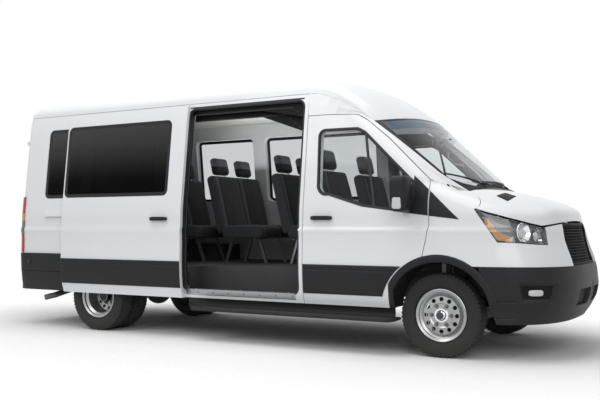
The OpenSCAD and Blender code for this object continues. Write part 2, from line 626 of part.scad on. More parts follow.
// Step board along the right side, on brackets from the rail
board_front_x = -345;
board_rear_x = -2447;
board_low_z = 272;
board_t = 50;
board_in_y = 960;
board_out_y = 1130;
module running_board() color("black") placed() mirror([0, 1, 0]) {
  along([[board_in_y, board_low_z + 8], [board_in_y + 20, board_low_z], [board_out_y - 20, board_low_z],
    [board_out_y, board_low_z + 20], [board_out_y - 6, board_low_z + board_t - 4],
    [board_out_y - 16, board_low_z + board_t], [board_in_y, board_low_z + board_t]],
    board_rear_x, board_front_x - board_rear_x);
  for (x = [board_rear_x + 200, (board_rear_x + board_front_x) / 2, board_front_x - 400])
    along([[board_in_y + 1, board_low_z + 10], [board_in_y + 1, board_low_z + 40],
      [rail_y + rail_w, board_low_z + 75],
      [rail_y + rail_w, rail_low_z - fit], [rail_y + 20, rail_low_z - fit], [rail_y + 20, board_low_z + 40]],
      x, 60);
}

// Sliding door, stored open over the rear quarter
slider_in = slider_stand;
slider_out = slider_stand + slider_t;
slider_window_front = 190;
slider_window_rear = 42;
slider_rows = rows_between(sill_z, slider_high_z);
module sliding_door() color("white") placed() mirror([0, 1, 0]) difference() {
  along(section(slider_rows, slider_out, slider_in), slider_rear_x, slider_w);
  rounded_prism(slider_rear_x + slider_window_rear, slider_front_x - slider_window_front, window_low_z,
    window_high_z, window_r, 0, big);
}
module sliding_door_glass() color("darkslategray", 0.6) placed() mirror([0, 1, 0])
  flank_pane(slider_rear_x + slider_window_rear, slider_front_x - slider_window_front, slider_out - pane_in);
handle_z = 1160;
handle_l = 210;
handle_h = 30;
handle_out = 40;
module pull(x, out) {
  low_z = handle_z - handle_h / 2;
  high_z = handle_z + handle_h / 2;
  y = skin_y(handle_z) + out + handle_out;
  along([[skin_y(low_z) + out + fit, low_z], [y, low_z + handle_h / 6], [y, high_z - handle_h / 6],
    [skin_y(high_z) + out + fit, high_z]], x - handle_l / 2, handle_l);
}
module sliding_door_trim() color("dimgray") placed() mirror([0, 1, 0]) {
  cladding_strip(slider_rear_x + 3, slider_front_x - 3, slider_out);
  pull(slider_front_x - 260, slider_out);
}

// Tracks: the centre track on the rear quarter carries the door, the upper one lies in the doorway's head
track_low_z = 1190;
track_high_z = 1235;
track_rear_x = rear_face_x + 390;
sill_plate_t = 8;
module door_tracks() color("silver") placed() mirror([0, 1, 0]) {
  along(section(rows_between(track_low_z, track_high_z), slider_in - fit, fit), track_rear_x,
    doorway_rear_x - 30 - track_rear_x);
  box(doorway_rear_x + doorway_r, doorway_front_x - doorway_r, skin_y(doorway_low_z) - wall_t + 2,
    skin_y(doorway_low_z) - 4, doorway_low_z + fit, doorway_low_z + sill_plate_t);
}

// Dashboard across the cab, against the front wall
dash_w = half_w - 285;
dash_outline = [for (p = [[-fit, 900], [-fit, 1330], [-150, 1345], [-330, 1300], [-375, 1235], [-360, 1130],
  [-280, 1090], [-300, 960], [-230, 900]]) p + [firewall_x, 0]];
module dashboard() color("dimgray") placed() difference() {
  across(dash_outline, -dash_w, 2 * dash_w);
  on_column() translate([0, 0, -column_l - fit]) cylinder(r = column_r + fit, h = column_l);
}

// Steering wheel on its column
wheel_centre = [-640, 430, 1300];
wheel_tilt = 50;
wheel_r = 185;
grip_r = 15;
column_l = 260;
column_r = 35;
boss_r = 60;
spoke_w = 36;
module on_column() translate(wheel_centre) rotate([0, -wheel_tilt, 0]) children();
module steering_wheel() color("black") placed() on_column() {
  rotate_extrude() translate([wheel_r, 0]) circle(grip_r);
  translate([0, 0, -20]) cylinder(r = boss_r, h = 30);
  for (a = [0, 120, 240])
    rotate([0, 0, a]) translate([0, -spoke_w / 2, -6]) cube([wheel_r - 6, spoke_w, 12]);
  translate([0, 0, -column_l]) cylinder(r = column_r, h = column_l);
}

// Seats: one side profile of pedestal, cushion and back, with separate head restraints
seat_h = 400;
cushion_t = 120;
cushion_l = 480;
back_h = 640;
back_t = 110;
recline = 14;
function seat_back_at(h) = [-sin(recline) * h, cos(recline) * h];
seat_z = floor_z + seat_h;
back_foot = [0, -20];
function back_quad(h0, h1, t) = let (a = back_foot + seat_back_at(h0), b = back_foot + seat_back_at(h1))
  [a, a - [t, 0], b - [t * 0.8, 0], b];
restraint_gap = 60;
restraint_h = 190;
module cushion_shape(y, w) {
  across([[cushion_l, -20], [cushion_l - 20, 0], [0, -10], [-back_t, -20], [-back_t, -cushion_t],
    [cushion_l - 20, -cushion_t]], y, w);
  across(concat([back_foot + [0, -60], back_foot + [-back_t, -60]],
    [for (i = [1:3]) back_quad(0, back_h, back_t)[i]]), y, w);
}
module restraint(y) {
  across(back_quad(back_h + restraint_gap, back_h + restraint_gap + restraint_h, back_t * 0.8), y - 125, 250);
  for (s = [-1, 1])
    translate([0, y + s * 70, 0]) translate([back_foot[0] - 40, 0, back_foot[1]]) rotate([0, -recline, 0])
      translate([0, 0, back_h - 30]) cylinder(r = 7, h = restraint_gap + 60);
}
front_seat_x = -1120;
front_seat_y = 430;
module front_seats() color("dimgray") placed() for (s = [-1, 1])
  translate([front_seat_x, s * front_seat_y, seat_z]) {
    cushion_shape(-front_seat_w / 2, front_seat_w);
    restraint(0);
    box(-60, cushion_l - 80, -front_seat_w / 2 + 60, front_seat_w / 2 - 60, -seat_h, -cushion_t + 1);
  }
bench_x = pillar_x - 690;
bench_wall_gap = 104;
bench_left_y = half_w - wall_t - bench_wall_gap;
leg_w = 30;
wall_foot = 420;
aisle_foot = 120;
module bench(y0, w, places, foot) {
  cushion_shape(y0, w);
  for (i = [0:places - 1])
    restraint(y0 + w * (i + 0.5) / places);
  for (y = [y0 + foot, y0 + w - wall_foot]) {
    across([[cushion_l - 120, -cushion_t + 1], [cushion_l - 90, -cushion_t + 1], [cushion_l - 20, -seat_h],
      [cushion_l - 50, -seat_h]], y, leg_w);
    across([[20, -cushion_t + 1], [50, -cushion_t + 1], [-40, -seat_h], [-70, -seat_h]], y, leg_w);
  }
}
module benches() color("dimgray") placed() for (i = [0:row_count - 1])
  translate([bench_x - i * row_pitch, 0, seat_z])
    if (i < row_count - 1) bench(bench_left_y - bench_w, bench_w, 2, aisle_foot);
    else bench(-bench_left_y, 2 * bench_left_y, 4, wall_foot - leg_w);

// Engine and gearbox as plain masses
gearbox_end = 640;
module engine() color("gray") placed() {
  box(firewall_x + firewall_t + 20, 660, -260, 260, 470, 1060);
  box(-gearbox_end, firewall_x + firewall_t + 21, -150, 150, 360 + fit, 590);
}

// Front suspension: cross-member, lower arms and struts with the eyes of the steering pins
arm_z = 245;
arm_t = 30;
eye_r = 28;
strut_r = 24;
strut_low_z = 478;
strut_high_z = 905;
pin_clear = 0.05;
pin_high_z = 520;
module front_axle() color("dimgray") placed() {
  difference() {
    union() {
      box(-160, 160, -rail_y + 60, rail_y - 60, 260, 360);
      both() box(-45, 45, rail_y - 61, kingpin_y - 20, arm_z, arm_z + arm_t);
      both() translate([0, kingpin_y, arm_z]) cylinder(r = eye_r, h = arm_t);
      both() box(-60, 60, rail_y - 61, rail_y - 61 + 50, 350, rail_low_z);
    }
    both() translate([0, kingpin_y, 0]) cylinder(r = kingpin_r + pin_clear, h = big);
  }
  both() difference() {
    translate([0, kingpin_y, strut_low_z]) cylinder(r = strut_r, h = strut_high_z - strut_low_z);
    translate([0, kingpin_y, 0]) cylinder(r = kingpin_r + pin_clear, h = pin_high_z + 1);
  }
  both() box(-60, 60, rail_y + rail_w - 1, kingpin_y + 30, strut_high_z - 1, strut_high_z + 24);
  both() box(-60, 60, rail_y + 1, rail_y + rail_w, floor_low_z, strut_high_z + 24);
}

// Knuckle: pin, upright and hub spindle
upright_low_z = arm_z + arm_t + 3;
upright_high_z = strut_low_z - 3;
module knuckle() {
  translate([0, kingpin_y, arm_z - 10]) cylinder(r = kingpin_r, h = pin_high_z - arm_z + 10);
  translate([0, kingpin_y, upright_low_z]) cylinder(r = eye_r, h = upright_high_z - upright_low_z);
  translate([0, kingpin_y, axle_z]) rotate([-90, 0, 0]) cylinder(r = 60, h = 40);
  translate([0, kingpin_y, axle_z]) rotate([-90, 0, 0])
    cylinder(r = spindle_r, h = front_wheel_y + 66 - kingpin_y);
}
module left_knuckle() color("gray") placed() knuckle();
module right_knuckle() color("gray") placed() mirror([0, 1, 0]) knuckle();

// Wheels: revolved about Z with the outer side up, the tyre's middle at zero
rim_r = rim_d / 2;
flange_r = rim_r + 17;
rim_half = 78;
barrel_t = 7;
well_r = rim_r - 24;
hole_ring_r = 134;
nut_ring_r = 85;
nut_r = 14;
hub_face_r = 105;
hub_r = 66;
hole_edge_r = hole_ring_r + hole_r + 6;
disc_t = 9;
bore_r = spindle_r + pin_clear;
function barrel_outside() = [[rim_r, -60], [well_r, -38], [well_r, 30], [rim_r, 52], [rim_r, rim_half - 10],
  [flange_r, rim_half - 4], [flange_r, rim_half], [flange_r - 5, rim_half + 3],
  [rim_r - barrel_t, rim_half - 6], [rim_r - barrel_t, 50]];
function barrel_inside() = [[rim_r - barrel_t, -58], [rim_r - barrel_t, -rim_half + 6],
  [flange_r - 5, -rim_half - 3], [flange_r, -rim_half], [flange_r, -rim_half + 4], [rim_r, -rim_half + 10]];
front_disc_out = [[well_r - barrel_t, 34], [well_r - barrel_t - 4, 42], [hole_edge_r, 58], [hub_face_r, 66],
  [hub_face_r - 12, 60], [bore_r, 60]];
rear_disc_out = [[well_r - barrel_t, 34], [well_r - barrel_t, -30], [well_r - barrel_t - 5, -58],
  [hole_edge_r, -84], [hub_face_r, -96], [hub_r, -96], [hub_r - 10, -2], [0, -2], [0, -38], [bore_r, -38]];
front_disc_in = [[bore_r, 60 - disc_t], [hub_face_r - 10, 60 - disc_t], [hub_face_r - 2, 66 - disc_t],
  [hole_edge_r - 3, 58 - disc_t], [well_r - barrel_t - 9, 32], [well_r - barrel_t, -36]];
rear_disc_in = [[hub_face_r + 4, -twin_pitch / 2], [hole_edge_r + 5, -95], [well_r - barrel_t + 4, -62],
  [well_r - barrel_t + 6, -46]];
inner_disc_out = [[well_r - barrel_t, 34], [well_r - barrel_t, -30], [well_r - barrel_t - 5, -58],
  [hole_edge_r, -84], [hub_face_r, -96], [bore_r, -96]];
function twin(points) = [for (i = [len(points) - 1:-1:0]) [points[i][0], -twin_pitch - points[i][1]]];
front_rim_outline = concat(barrel_outside(), front_disc_out, front_disc_in, barrel_inside());
rear_rims_outline = concat(barrel_outside(), rear_disc_out, twin(inner_disc_out), twin(barrel_outside()),
  twin(barrel_inside()), twin([for (i = [1:len(rear_disc_in) - 1]) rear_disc_in[i]]), rear_disc_in,
  barrel_inside());
module around(count, r) for (i = [0:count - 1])
  rotate([0, 0, 360 * i / count]) translate([r, 0, 0]) children();
module front_rim() difference() {
  union() {
    rotate_extrude() polygon(front_rim_outline);
    around(nut_count, nut_ring_r) translate([0, 0, 56]) cylinder(r = nut_r, h = 22, $fn = 6);
  }
  around(hole_count, hole_ring_r) translate([0, 0, 10]) cylinder(r = hole_r, h = 100);
}
module rear_rims() difference() {
  union() {
    rotate_extrude() polygon(rear_rims_outline);
    around(nut_count, nut_ring_r) translate([0, 0, -99]) cylinder(r = nut_r, h = 24, $fn = 6);
  }
  around(hole_count, hole_ring_r) translate([0, 0, -twin_pitch - 10]) cylinder(r = hole_r, h = twin_pitch);
}
tyre_r = tyre_d / 2;
tyre_half = tyre_w / 2;
tread_half = tyre_half - 18;
bead_half = rim_half - 12;
tyre_right = [[rim_r + fit, bead_half], [flange_r + 2, bead_half + 1], [flange_r + 10, rim_half + 5],
  [rim_r + 45, tyre_half - 3], [rim_r + 75, tyre_half], [rim_r + 105, tyre_half - 4],
  [tyre_r - 18, tyre_half - 10],
  [tyre_r - 6, tread_half + 6], [tyre_r - 2, tread_half - 8], [tyre_r, 30]];
module tyre() rotate_extrude() polygon(concat(tyre_right,
  [for (i = [len(tyre_right) - 1:-1:0]) [tyre_right[i][0], -tyre_right[i][1]]],
  [[rim_r + fit, -45], [rim_r + 30, -52], [rim_r + 30, 52], [rim_r + fit, 45]]));
module wheel_at(x, y) placed() translate([x, y, axle_z]) rotate([-90, 0, 0]) children();
module front_left_rim() color("silver") wheel_at(0, front_wheel_y) front_rim();
module front_left_tyre() color("black") wheel_at(0, front_wheel_y) tyre();
module front_right_rim() color("silver") mirror([0, 1, 0]) wheel_at(0, front_wheel_y) front_rim();
module front_right_tyre() color("black") mirror([0, 1, 0]) wheel_at(0, front_wheel_y) tyre();
module twin_tyres() {
  tyre();
  translate([0, 0, -twin_pitch]) tyre();
}
module rear_left_rims() color("silver") wheel_at(rear_axle_x, rear_wheel_y) rear_rims();
module rear_left_tyres() color("black") wheel_at(rear_axle_x, rear_wheel_y) twin_tyres();
module rear_right_rims() color("silver") mirror([0, 1, 0]) wheel_at(rear_axle_x, rear_wheel_y) rear_rims();
module rear_right_tyres() color("black") mirror([0, 1, 0]) wheel_at(rear_axle_x, rear_wheel_y) twin_tyres();

// Rear axle on leaf springs, with the propeller shaft
spring_y = rail_y + rail_w / 2;
spring_l = 640;
spring_rise = 40;
spring_r = (pow(spring_l, 2) + pow(spring_rise, 2)) / (2 * spring_rise);
spring_a = asin(spring_l / spring_r);
spring_t = 30;
spring_w = 68;
axle_tube_r = 48;
shaft_r = 40;
hub_end = rear_wheel_y - twin_pitch / 2;
module rear_axle() color("dimgray") placed() {
  translate([rear_axle_x, 0, axle_z]) {
    rotate([-90, 0, 0]) translate([0, 0, -hub_end + 140]) cylinder(r = axle_tube_r, h = 2 * hub_end - 280);
    rotate([-90, 0, 0]) translate([0, 0, -hub_end - 60]) cylinder(r = spindle_r, h = 2 * hub_end + 120);
    sphere(r = 150);
  }
  both() translate([rear_axle_x, spring_y - spring_w / 2, axle_z]) {
    translate([0, 0, axle_tube_r - 6]) across(concat(
      arc([0, spring_r], spring_r, -90 - spring_a, -90 + spring_a, 12),
      arc([0, spring_r], spring_r - spring_t, -90 + spring_a, -90 - spring_a, 12)), 0, spring_w);
    for (s = [-1, 1])
      translate([s * (spring_l - 20) - 20, 10, axle_tube_r + spring_rise])
        cube([40, spring_w - 20, rail_low_z - axle_z - axle_tube_r - spring_rise - fit]);
  }
  translate([rear_axle_x + 120, 0, axle_z + 20]) rotate([0, 88.5, 0])
    cylinder(r = shaft_r, h = -rear_axle_x - gearbox_end - 130);
}

// Exhaust: silencer, pipe over the axle and tailpipe beside the right rear wheel
pipe_r = 30;
pipe_slip = 1.5;
pipe_lap = 22;
pipe_path = [[-640, -240, 430], [rear_axle_x + 2050, -240, 430], [rear_axle_x + 650, -310, 430],
  [rear_axle_x + 150, -310, 440], [rear_axle_x - 680, -310, 440], [rear_axle_x - 730, -520, 400],
  [rear_axle_x - 750, -850, 330], [rear_axle_x - 810, -950, 305]];
silencer = [[rear_axle_x + 1650, -255, 430], [rear_axle_x + 950, -292, 430]];
silencer_r = 85;
hanger_r = 8;
module rod(a, b, r) let (d = b - a, l = norm(d))
  translate(a) rotate([0, acos(d[2] / l), atan2(d[1], d[0])]) cylinder(r = r, h = l);
function beyond(a, b, d) = b + (b - a) * d / norm(b - a);
module exhaust() color("gray") placed() {
  for (i = [0:len(pipe_path) - 2]) let (a = pipe_path[i], b = pipe_path[i + 1])
    rod(beyond(b, a, i > 0 ? pipe_lap : 0), beyond(a, b, i < len(pipe_path) - 2 ? pipe_lap : 0),
      pipe_r + i % 2 * pipe_slip);
  rod(silencer[0], silencer[1], silencer_r);
  for (p = [mix(silencer[0], silencer[1], 0.2), mix(silencer[0], silencer[1], 0.8)])
    translate(p) cylinder(r = hanger_r, h = floor_low_z - fit - p[2]);
}

// Fuel tank beside the left rail, ahead of the rear axle
tank_x = 800;
tank_l = 1000;
tank_low_z = 320;
tank_w = 380;
module fuel_tank() color("dimgray") placed()
  rounded_prism(rear_axle_x + tank_x, rear_axle_x + tank_x + tank_l, tank_low_z, floor_low_z, 40,
    rail_y + rail_w + 20, tank_w);

// Front doors
door_cols = [door_rear_x, -1000, -800, -620, -480, -380, -290, -210, -140, -75];
door_rows = [sill_z - 5, 480, 620, 760, 1040, 1120, 1220, 1400, 1600, 1800, 2000, 2090];
function door_grid(out) = [for (x = door_cols) [for (z = door_rows) [x, side_y(x, z) + out, z]]];
module door_panel() difference() {
  intersection() {
    slab(door_grid(0), door_grid(-door_t));
    across(door_outline, 0, big);
  }
  across(door_window, 0, big);
}
function shrunk(outline, d) = [for (p = outline) let (c = [-560, 1560]) p + d * (c - p) / norm(c - p)];
module door_pane() intersection() {
  slab(door_grid(-pane_in), door_grid(-pane_in - glass_t));
  across(shrunk(door_window, 0.6), 0, big);
}
mirror_x = [-335, -205];
mirror_y = [1045, half_w + 207];
mirror_z = [1195, 1500];
mirror_foot_z = [1198, 1215];
module door_trim() {
  along(section(strip_rows, cladding_t, fit), door_rear_x + 2, -arch_foot_x - 2 - door_rear_x - 2 - 70);
  pull(door_rear_x + 190, 0);
  rounded_prism(mirror_x[0], mirror_x[1], mirror_z[0], mirror_z[1], 40, mirror_y[0],
    mirror_y[1] - mirror_y[0]);
  box(mirror_x[0] + 30, mirror_x[1] - 20, side_y(mirror_x[0], mirror_foot_z[0]) + fit, mirror_y[0] + 1,
    mirror_foot_z[0], mirror_foot_z[1]);
}
module left_door() color("white") placed() door_panel();
module left_door_glass() color("darkslategray", 0.5) placed() door_pane();
module left_door_trim() color("dimgray") placed() door_trim();
module right_door() color("white") placed() mirror([0, 1, 0]) door_panel();
module right_door_glass() color("darkslategray", 0.5) placed() mirror([0, 1, 0]) door_pane();
module right_door_trim() color("dimgray") placed() mirror([0, 1, 0]) door_trim();

// Rear doors
rear_rows = rows_between(rear_door_low_z, rear_door_high_z);
rear_window = [150, half_w - 390, 1400, gutter_z - 210];
rear_outline = concat([for (z = rear_rows) [skin_y(z) - rear_pillar_w, z]],
  [[gap / 2, rear_door_high_z], [gap / 2, rear_door_low_z]]);
module rear_opening(inset) translate([rear_face_x - 1, 0, 0]) rotate([90, 0, 90]) linear_extrude(200)
  rounded_rect(rear_window[0] + inset, rear_window[1] - inset, rear_window[2] + inset, rear_window[3] - inset,
    window_r);
module rear_door() {
  difference() {
    along(rear_outline, rear_face_x, rear_door_t);
    rear_opening(0);
  }
  door_arms();
}
module rear_pane() intersection() {
  box(rear_face_x + pane_in, rear_face_x + pane_in + glass_t, 0, half_w, 0, body_h);
  rear_opening(fit);
}
module left_rear_door() color("white") placed() rear_door();
module left_rear_door_glass() color("darkslategray", 0.6) placed() rear_pane();
module right_rear_door() color("white") placed() mirror([0, 1, 0]) rear_door();
module right_rear_door_glass() color("darkslategray", 0.6) placed() mirror([0, 1, 0]) rear_pane();

floor_pan();
side_step();
chassis_rails();
left_side();
right_side();
roof();
cab_frame();
front_wings();
windscreen();
side_windows();
front_bumper();
rear_bumper();
grille();
headlamps();
tail_lamps();
body_cladding();
running_board();
sliding_door();
sliding_door_glass();
sliding_door_trim();
door_tracks();
cowl();
dashboard();
steering_wheel();
front_seats();
benches();
engine();
front_axle();
rear_axle();
exhaust();
fuel_tank();
left_door();
left_door_glass();
left_door_trim();
right_door();
right_door_glass();
right_door_trim();
left_rear_door();
left_rear_door_glass();
right_rear_door();
right_rear_door_glass();
hood();
left_knuckle();
right_knuckle();
front_left_rim();
front_left_tyre();
front_right_rim();
front_right_tyre();
rear_left_rims();
rear_left_tyres();
rear_right_rims();
rear_right_tyres();
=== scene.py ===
"""Looks of a long passenger van with an open sliding door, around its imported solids.

Shapes are worked out in millimetres from the front axle: x forward, y to the left, z up from the road.
"""
import math

import bmesh
import bpy
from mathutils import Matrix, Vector
import numpy as np


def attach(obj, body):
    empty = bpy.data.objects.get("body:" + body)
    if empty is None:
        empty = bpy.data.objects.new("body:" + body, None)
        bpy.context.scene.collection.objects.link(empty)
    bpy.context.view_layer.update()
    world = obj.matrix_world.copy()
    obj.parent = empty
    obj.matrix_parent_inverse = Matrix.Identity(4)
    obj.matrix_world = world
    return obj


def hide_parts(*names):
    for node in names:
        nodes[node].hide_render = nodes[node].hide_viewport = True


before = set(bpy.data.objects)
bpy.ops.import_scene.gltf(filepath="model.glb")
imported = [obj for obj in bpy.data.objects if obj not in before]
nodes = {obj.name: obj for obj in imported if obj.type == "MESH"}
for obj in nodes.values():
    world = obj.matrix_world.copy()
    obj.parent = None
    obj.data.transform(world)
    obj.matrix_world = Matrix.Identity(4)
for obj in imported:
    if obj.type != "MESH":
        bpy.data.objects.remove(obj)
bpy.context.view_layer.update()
AXLE = np.array([1967.5, 0.0, 0.0])
SIDES = ((1, "left"), (-1, "right"))
SPAN = {1: (0, 3000), -1: (-3000, 0)}

# Body surface
HALF_W = 1030.0
SILL_Z = 395.0
GUTTER_Z = 2290.0
CROWN_Z = 2470.0
NOSE = 1023.0
BOW = 6.8
REAR_X = -4870.0
CORNER_R = 75.0
CORNER_X = REAR_X + CORNER_R
PILLAR_X = -1270.0
GAP = 7.0
REAR_AXLE = -3750.0
WHEEL_Z = 350.0
FRONT_Y, REAR_Y, TWIN_PITCH = 866.0, 906.0, 224.0
FLANK = np.array([[300, 60], [395, 46], [480, 20], [620, 5], [760, 0], [905, 4], [1015, 2], [1050, -2],
                  [1084, 11], [1220, 15], [1400, 34], [2000, 104], [2180, 128], [2290, 150]], float)
LEVELS = np.array([[290, NOSE - 118, 1500, 2.6], [420, NOSE - 38, 1600, 2.6], [600, NOSE, 1700, 2.6],
                   [760, NOSE - 15, 1800, 2.6], [960, NOSE - 83, 1840, 2.6], [1120, NOSE - 130, 1820, 2.5],
                   [1200, NOSE - 188, 1740, 2.4], [1330, 520, 1420, 2.2], [1440, 215, 1100, 2],
                   [1500, 158, 1060, 2], [2090, -445, 1320, 2]], float)
ROOF = np.array([[1, 180], [0.985, 122], [0.935, 72], [0.83, 38], [0.53, 11], [0.27, 3], [0, 0]], float)


def curve(table, z, column=1):
    """Cubic through a table's column: each piece keeps the slope between its neighbours."""
    z = np.asarray(z, float)
    i = np.clip(np.searchsorted(table[:, 0], z, side="right") - 1, 0, len(table) - 2)
    low = np.maximum(np.arange(len(table)) - 1, 0)
    high = np.minimum(np.arange(len(table)) + 1, len(table) - 1)
    slopes = (table[high, column] - table[low, column]) / (table[high, 0] - table[low, 0])
    h = table[i + 1, 0] - table[i, 0]
    u = np.clip((z - table[i, 0]) / h, 0, 1)
    return (table[i, column] * (1 + 2 * u) * (1 - u) ** 2 + slopes[i] * h * u * (1 - u) ** 2
            + table[i + 1, column] * u * u * (3 - 2 * u) - slopes[i + 1] * h * u * u * (1 - u))


def wall_y(z):
    """Half width of the straight body at a height."""
    return HALF_W - curve(FLANK, z)


def side_y(x, z):
    """Half width at a place along the side: the wall's, drawn in by a power curve towards the nose."""
    reach, q = curve(LEVELS, z, 2), curve(LEVELS, z, 3)
    u = np.clip((x - curve(LEVELS, z) + reach) / reach, 0, 1)
    return wall_y(z) * (1 - u ** BOW) ** (1 / q)


def front_x(y, z):
    """Foremost x at a distance from the centre line: the same power curve solved for x."""
    reach, q = curve(LEVELS, z, 2), curve(LEVELS, z, 3)
    s = np.minimum(1, np.abs(y) / wall_y(z))
    return curve(LEVELS, z) - reach * (1 - (1 - s ** q) ** (1 / BOW))


def hull(p):
    """Signed field of the body's skin: zero on it, above zero outside, in shares of the half width."""
    x, y, z = p[..., 0], np.abs(p[..., 1]), p[..., 2]
    reach, q, w = curve(LEVELS, z, 2), curve(LEVELS, z, 3), wall_y(z)
    u = np.clip((x - curve(LEVELS, z) + reach) / reach, 0, 2)
    front = u ** BOW + (y / w) ** q - 1
    over = np.hypot(np.minimum(x - CORNER_X, 0), np.maximum(y - (w - CORNER_R), 0))
    rear = np.where(x < CORNER_X, (over - CORNER_R) / w, (y - w) / w)
    return np.where(x > PILLAR_X - 2, front, rear)


def hull_normal(p):
    """Outward direction of the skin: the field's slope, from differences of 1 mm."""
    g = np.stack([hull(p + d) - hull(p - d) for d in np.eye(3)], -1)
    return g / np.maximum(np.linalg.norm(g, axis=-1, keepdims=True), 1e-12)


def onto_skin(p):
    """Moves points level with the road until they lie on the skin: four Newton steps on the field."""
    p = np.array(p, float)
    for _ in range(4):
        f = hull(p)
        g = np.stack([hull(p + d) - hull(p - d) for d in np.eye(3)[:2]], -1) / 2
        step = f[..., None] * g / np.maximum((g ** 2).sum(-1, keepdims=True), 1e-12)
        p[..., :2] -= np.clip(step, -40, 40)
    return p


def refined(grid, nu, nv):
    """A coarse grid of points drawn finer: straight between its points, then moved onto the skin."""
    g = np.asarray(grid, float)
    for axis, n in ((0, nu), (1, nv)):
        k = np.arange((g.shape[axis] - 1) * n + 1) / n
        i = np.minimum(k.astype(int), g.shape[axis] - 2)
        t = (k - i).reshape((-1, 1, 1) if axis == 0 else (1, -1, 1))
        g = np.take(g, i, axis) * (1 - t) + np.take(g, i + 1, axis) * t
    return onto_skin(g)


def mirrored(grid):
    """The same surface on the other side, its columns turned round so that it still faces outwards."""
    return (np.asarray(grid) * np.array([1, -1, 1]))[::-1]


def sided(side, *grids):
    """Grids drawn for the left, or mirrored for the right."""
    return grids if side > 0 else tuple(mirrored(g) for g in grids)


# Meshes
def add(name, points, faces, materials, body, index=None, sharp=35, replaces=None, slot=None):
    """Makes a piece from points in millimetres and faces, with smooth shading below an angle."""
    mesh = bpy.data.meshes.new(name)
    mesh.from_pydata(((np.reshape(points, (-1, 3)) + AXLE) * 0.001).tolist(), [],
                     [list(map(int, f)) for f in faces])
    obj = bpy.data.objects.new(name, mesh)
    bpy.context.scene.collection.objects.link(obj)
    for m in materials if isinstance(materials, (list, tuple)) else [materials]:
        mesh.materials.append(m)
    if index is not None:
        mesh.polygons.foreach_set("material_index", np.asarray(index, np.int32))
    mesh.shade_smooth()
    if sharp:
        mesh.set_sharp_from_angle(angle=math.radians(sharp))
    mesh.update()
    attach(obj, body)
    if replaces:
        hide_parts(*([replaces] if isinstance(replaces, str) else replaces))
    return obj


def quads(n, m, wrap_u=False, wrap_v=False):
    """Faces of a grid of n by m points, closed round a way where that is asked."""
    i, j = np.meshgrid(np.arange(n if wrap_u else n - 1), np.arange(m if wrap_v else m - 1), indexing="ij")
    a, b = (i + 1) % n, (j + 1) % m
    return np.stack([i * m + j, a * m + j, a * m + b, i * m + b], -1).reshape(-1, 4)


def shell(outer, inner):
    """Points, faces and part numbers (0 outside, 1 inside, 2 edges) of a plate between two grids."""
    n, m = outer.shape[:2]
    size = n * m
    face = quads(n, m)
    i, j = np.arange(n - 1), np.arange(m - 1)
    low = np.stack([(i + 1) * m, i * m, size + i * m, size + (i + 1) * m], -1)
    high = np.stack([i * m + m - 1, (i + 1) * m + m - 1, size + (i + 1) * m + m - 1, size + i * m + m - 1],
                    -1)
    rear = np.stack([j, j + 1, size + j + 1, size + j], -1)
    k = (n - 1) * m
    front = np.stack([k + j + 1, k + j, size + k + j, size + k + j + 1], -1)
    edge = np.concatenate([low, high, rear, front])
    faces = np.concatenate([face, face[:, ::-1] + size, edge])
    index = np.repeat([0, 1, 2], [len(face), len(face), len(edge)])
    return np.concatenate([outer.reshape(-1, 3), inner.reshape(-1, 3)]), faces, index


def plate(name, outer, inner, materials, body, **more):
    """A piece from two grids, outside and inside, with a material for each and one for its edges."""
    points, faces, index = shell(outer, inner)
    many = isinstance(materials, (list, tuple))
    return outward(add(name, points, faces, materials, body, index=index if many else None, **more))


def bar_faces(n, m):
    """Faces of a bar of n rings of m points: its sides and its two ends."""
    sides = [list(f) for f in quads(n, m, False, True)]
    return sides + [list(range(m)), list(range(n * m - 1, (n - 1) * m - 1, -1))]


def tube(name, path, radius, materials, body, sides=10):
    """A round bar along a path: rings square to the path, with its ends closed."""
    p = np.asarray(path, float)
    d = np.gradient(p, axis=0)
    d /= np.linalg.norm(d, axis=1, keepdims=True)
    up = np.where(np.abs(d[:, 2:]) > 0.9, [[1.0, 0, 0]], [[0, 0, 1.0]])
    a = np.cross(d, up)
    a /= np.linalg.norm(a, axis=1, keepdims=True)
    b = np.cross(d, a)
    t = np.linspace(0, 2 * np.pi, sides, endpoint=False)
    ring = p[:, None] + radius * (np.cos(t)[None, :, None] * a[:, None] + np.sin(t)[None, :, None]
                                  * b[:, None])
    return add(name, ring, bar_faces(len(p), sides), materials, body)


def sweep(name, path, normals, profile, materials, body, closed=True):
    """A profile carried along a path: its first measure runs sideways, its second along the normals."""
    p = np.asarray(path, float)
    n = np.broadcast_to(np.asarray(normals, float), p.shape)
    d = np.roll(p, -1, 0) - np.roll(p, 1, 0) if closed else np.gradient(p, axis=0)
    side = np.cross(d, n)
    side /= np.maximum(np.linalg.norm(side, axis=1, keepdims=True), 1e-9)
    q = np.asarray(profile, float)
    ring = p[:, None] + q[None, :, :1] * side[:, None] + q[None, :, 1:] * n[:, None]
    faces = quads(len(p), len(q), True, True) if closed else bar_faces(len(p), len(q))
    return outward(add(name, ring, faces, materials, body))


def turned(name, profile, centre, materials, body, steps=96, axis="y", side=1):
    """A profile of radius and reach turned once round an axis through a centre."""
    q = np.asarray(profile, float) * np.array([1, side])
    t = np.linspace(0, 2 * np.pi, steps, endpoint=False)[:, None]
    r, h = q[None, :, 0], np.broadcast_to(q[None, :, 1], (steps, len(q)))
    a, b = r * np.cos(t), r * np.sin(t)
    ring = {"y": np.stack([a, h, b], -1), "x": np.stack([h, a, b], -1), "z": np.stack([a, b, h], -1)}[axis]
    ring = ring + np.asarray(centre, float)
    return outward(add(name, ring, quads(steps, len(q), True, True), materials, body))


def merged(name, pieces):
    """Joins pieces that are made alike into one, named for them all."""
    with bpy.context.temp_override(active_object=pieces[0], selected_editable_objects=pieces):
        bpy.ops.object.join()
    pieces[0].name = name
    return pieces[0]


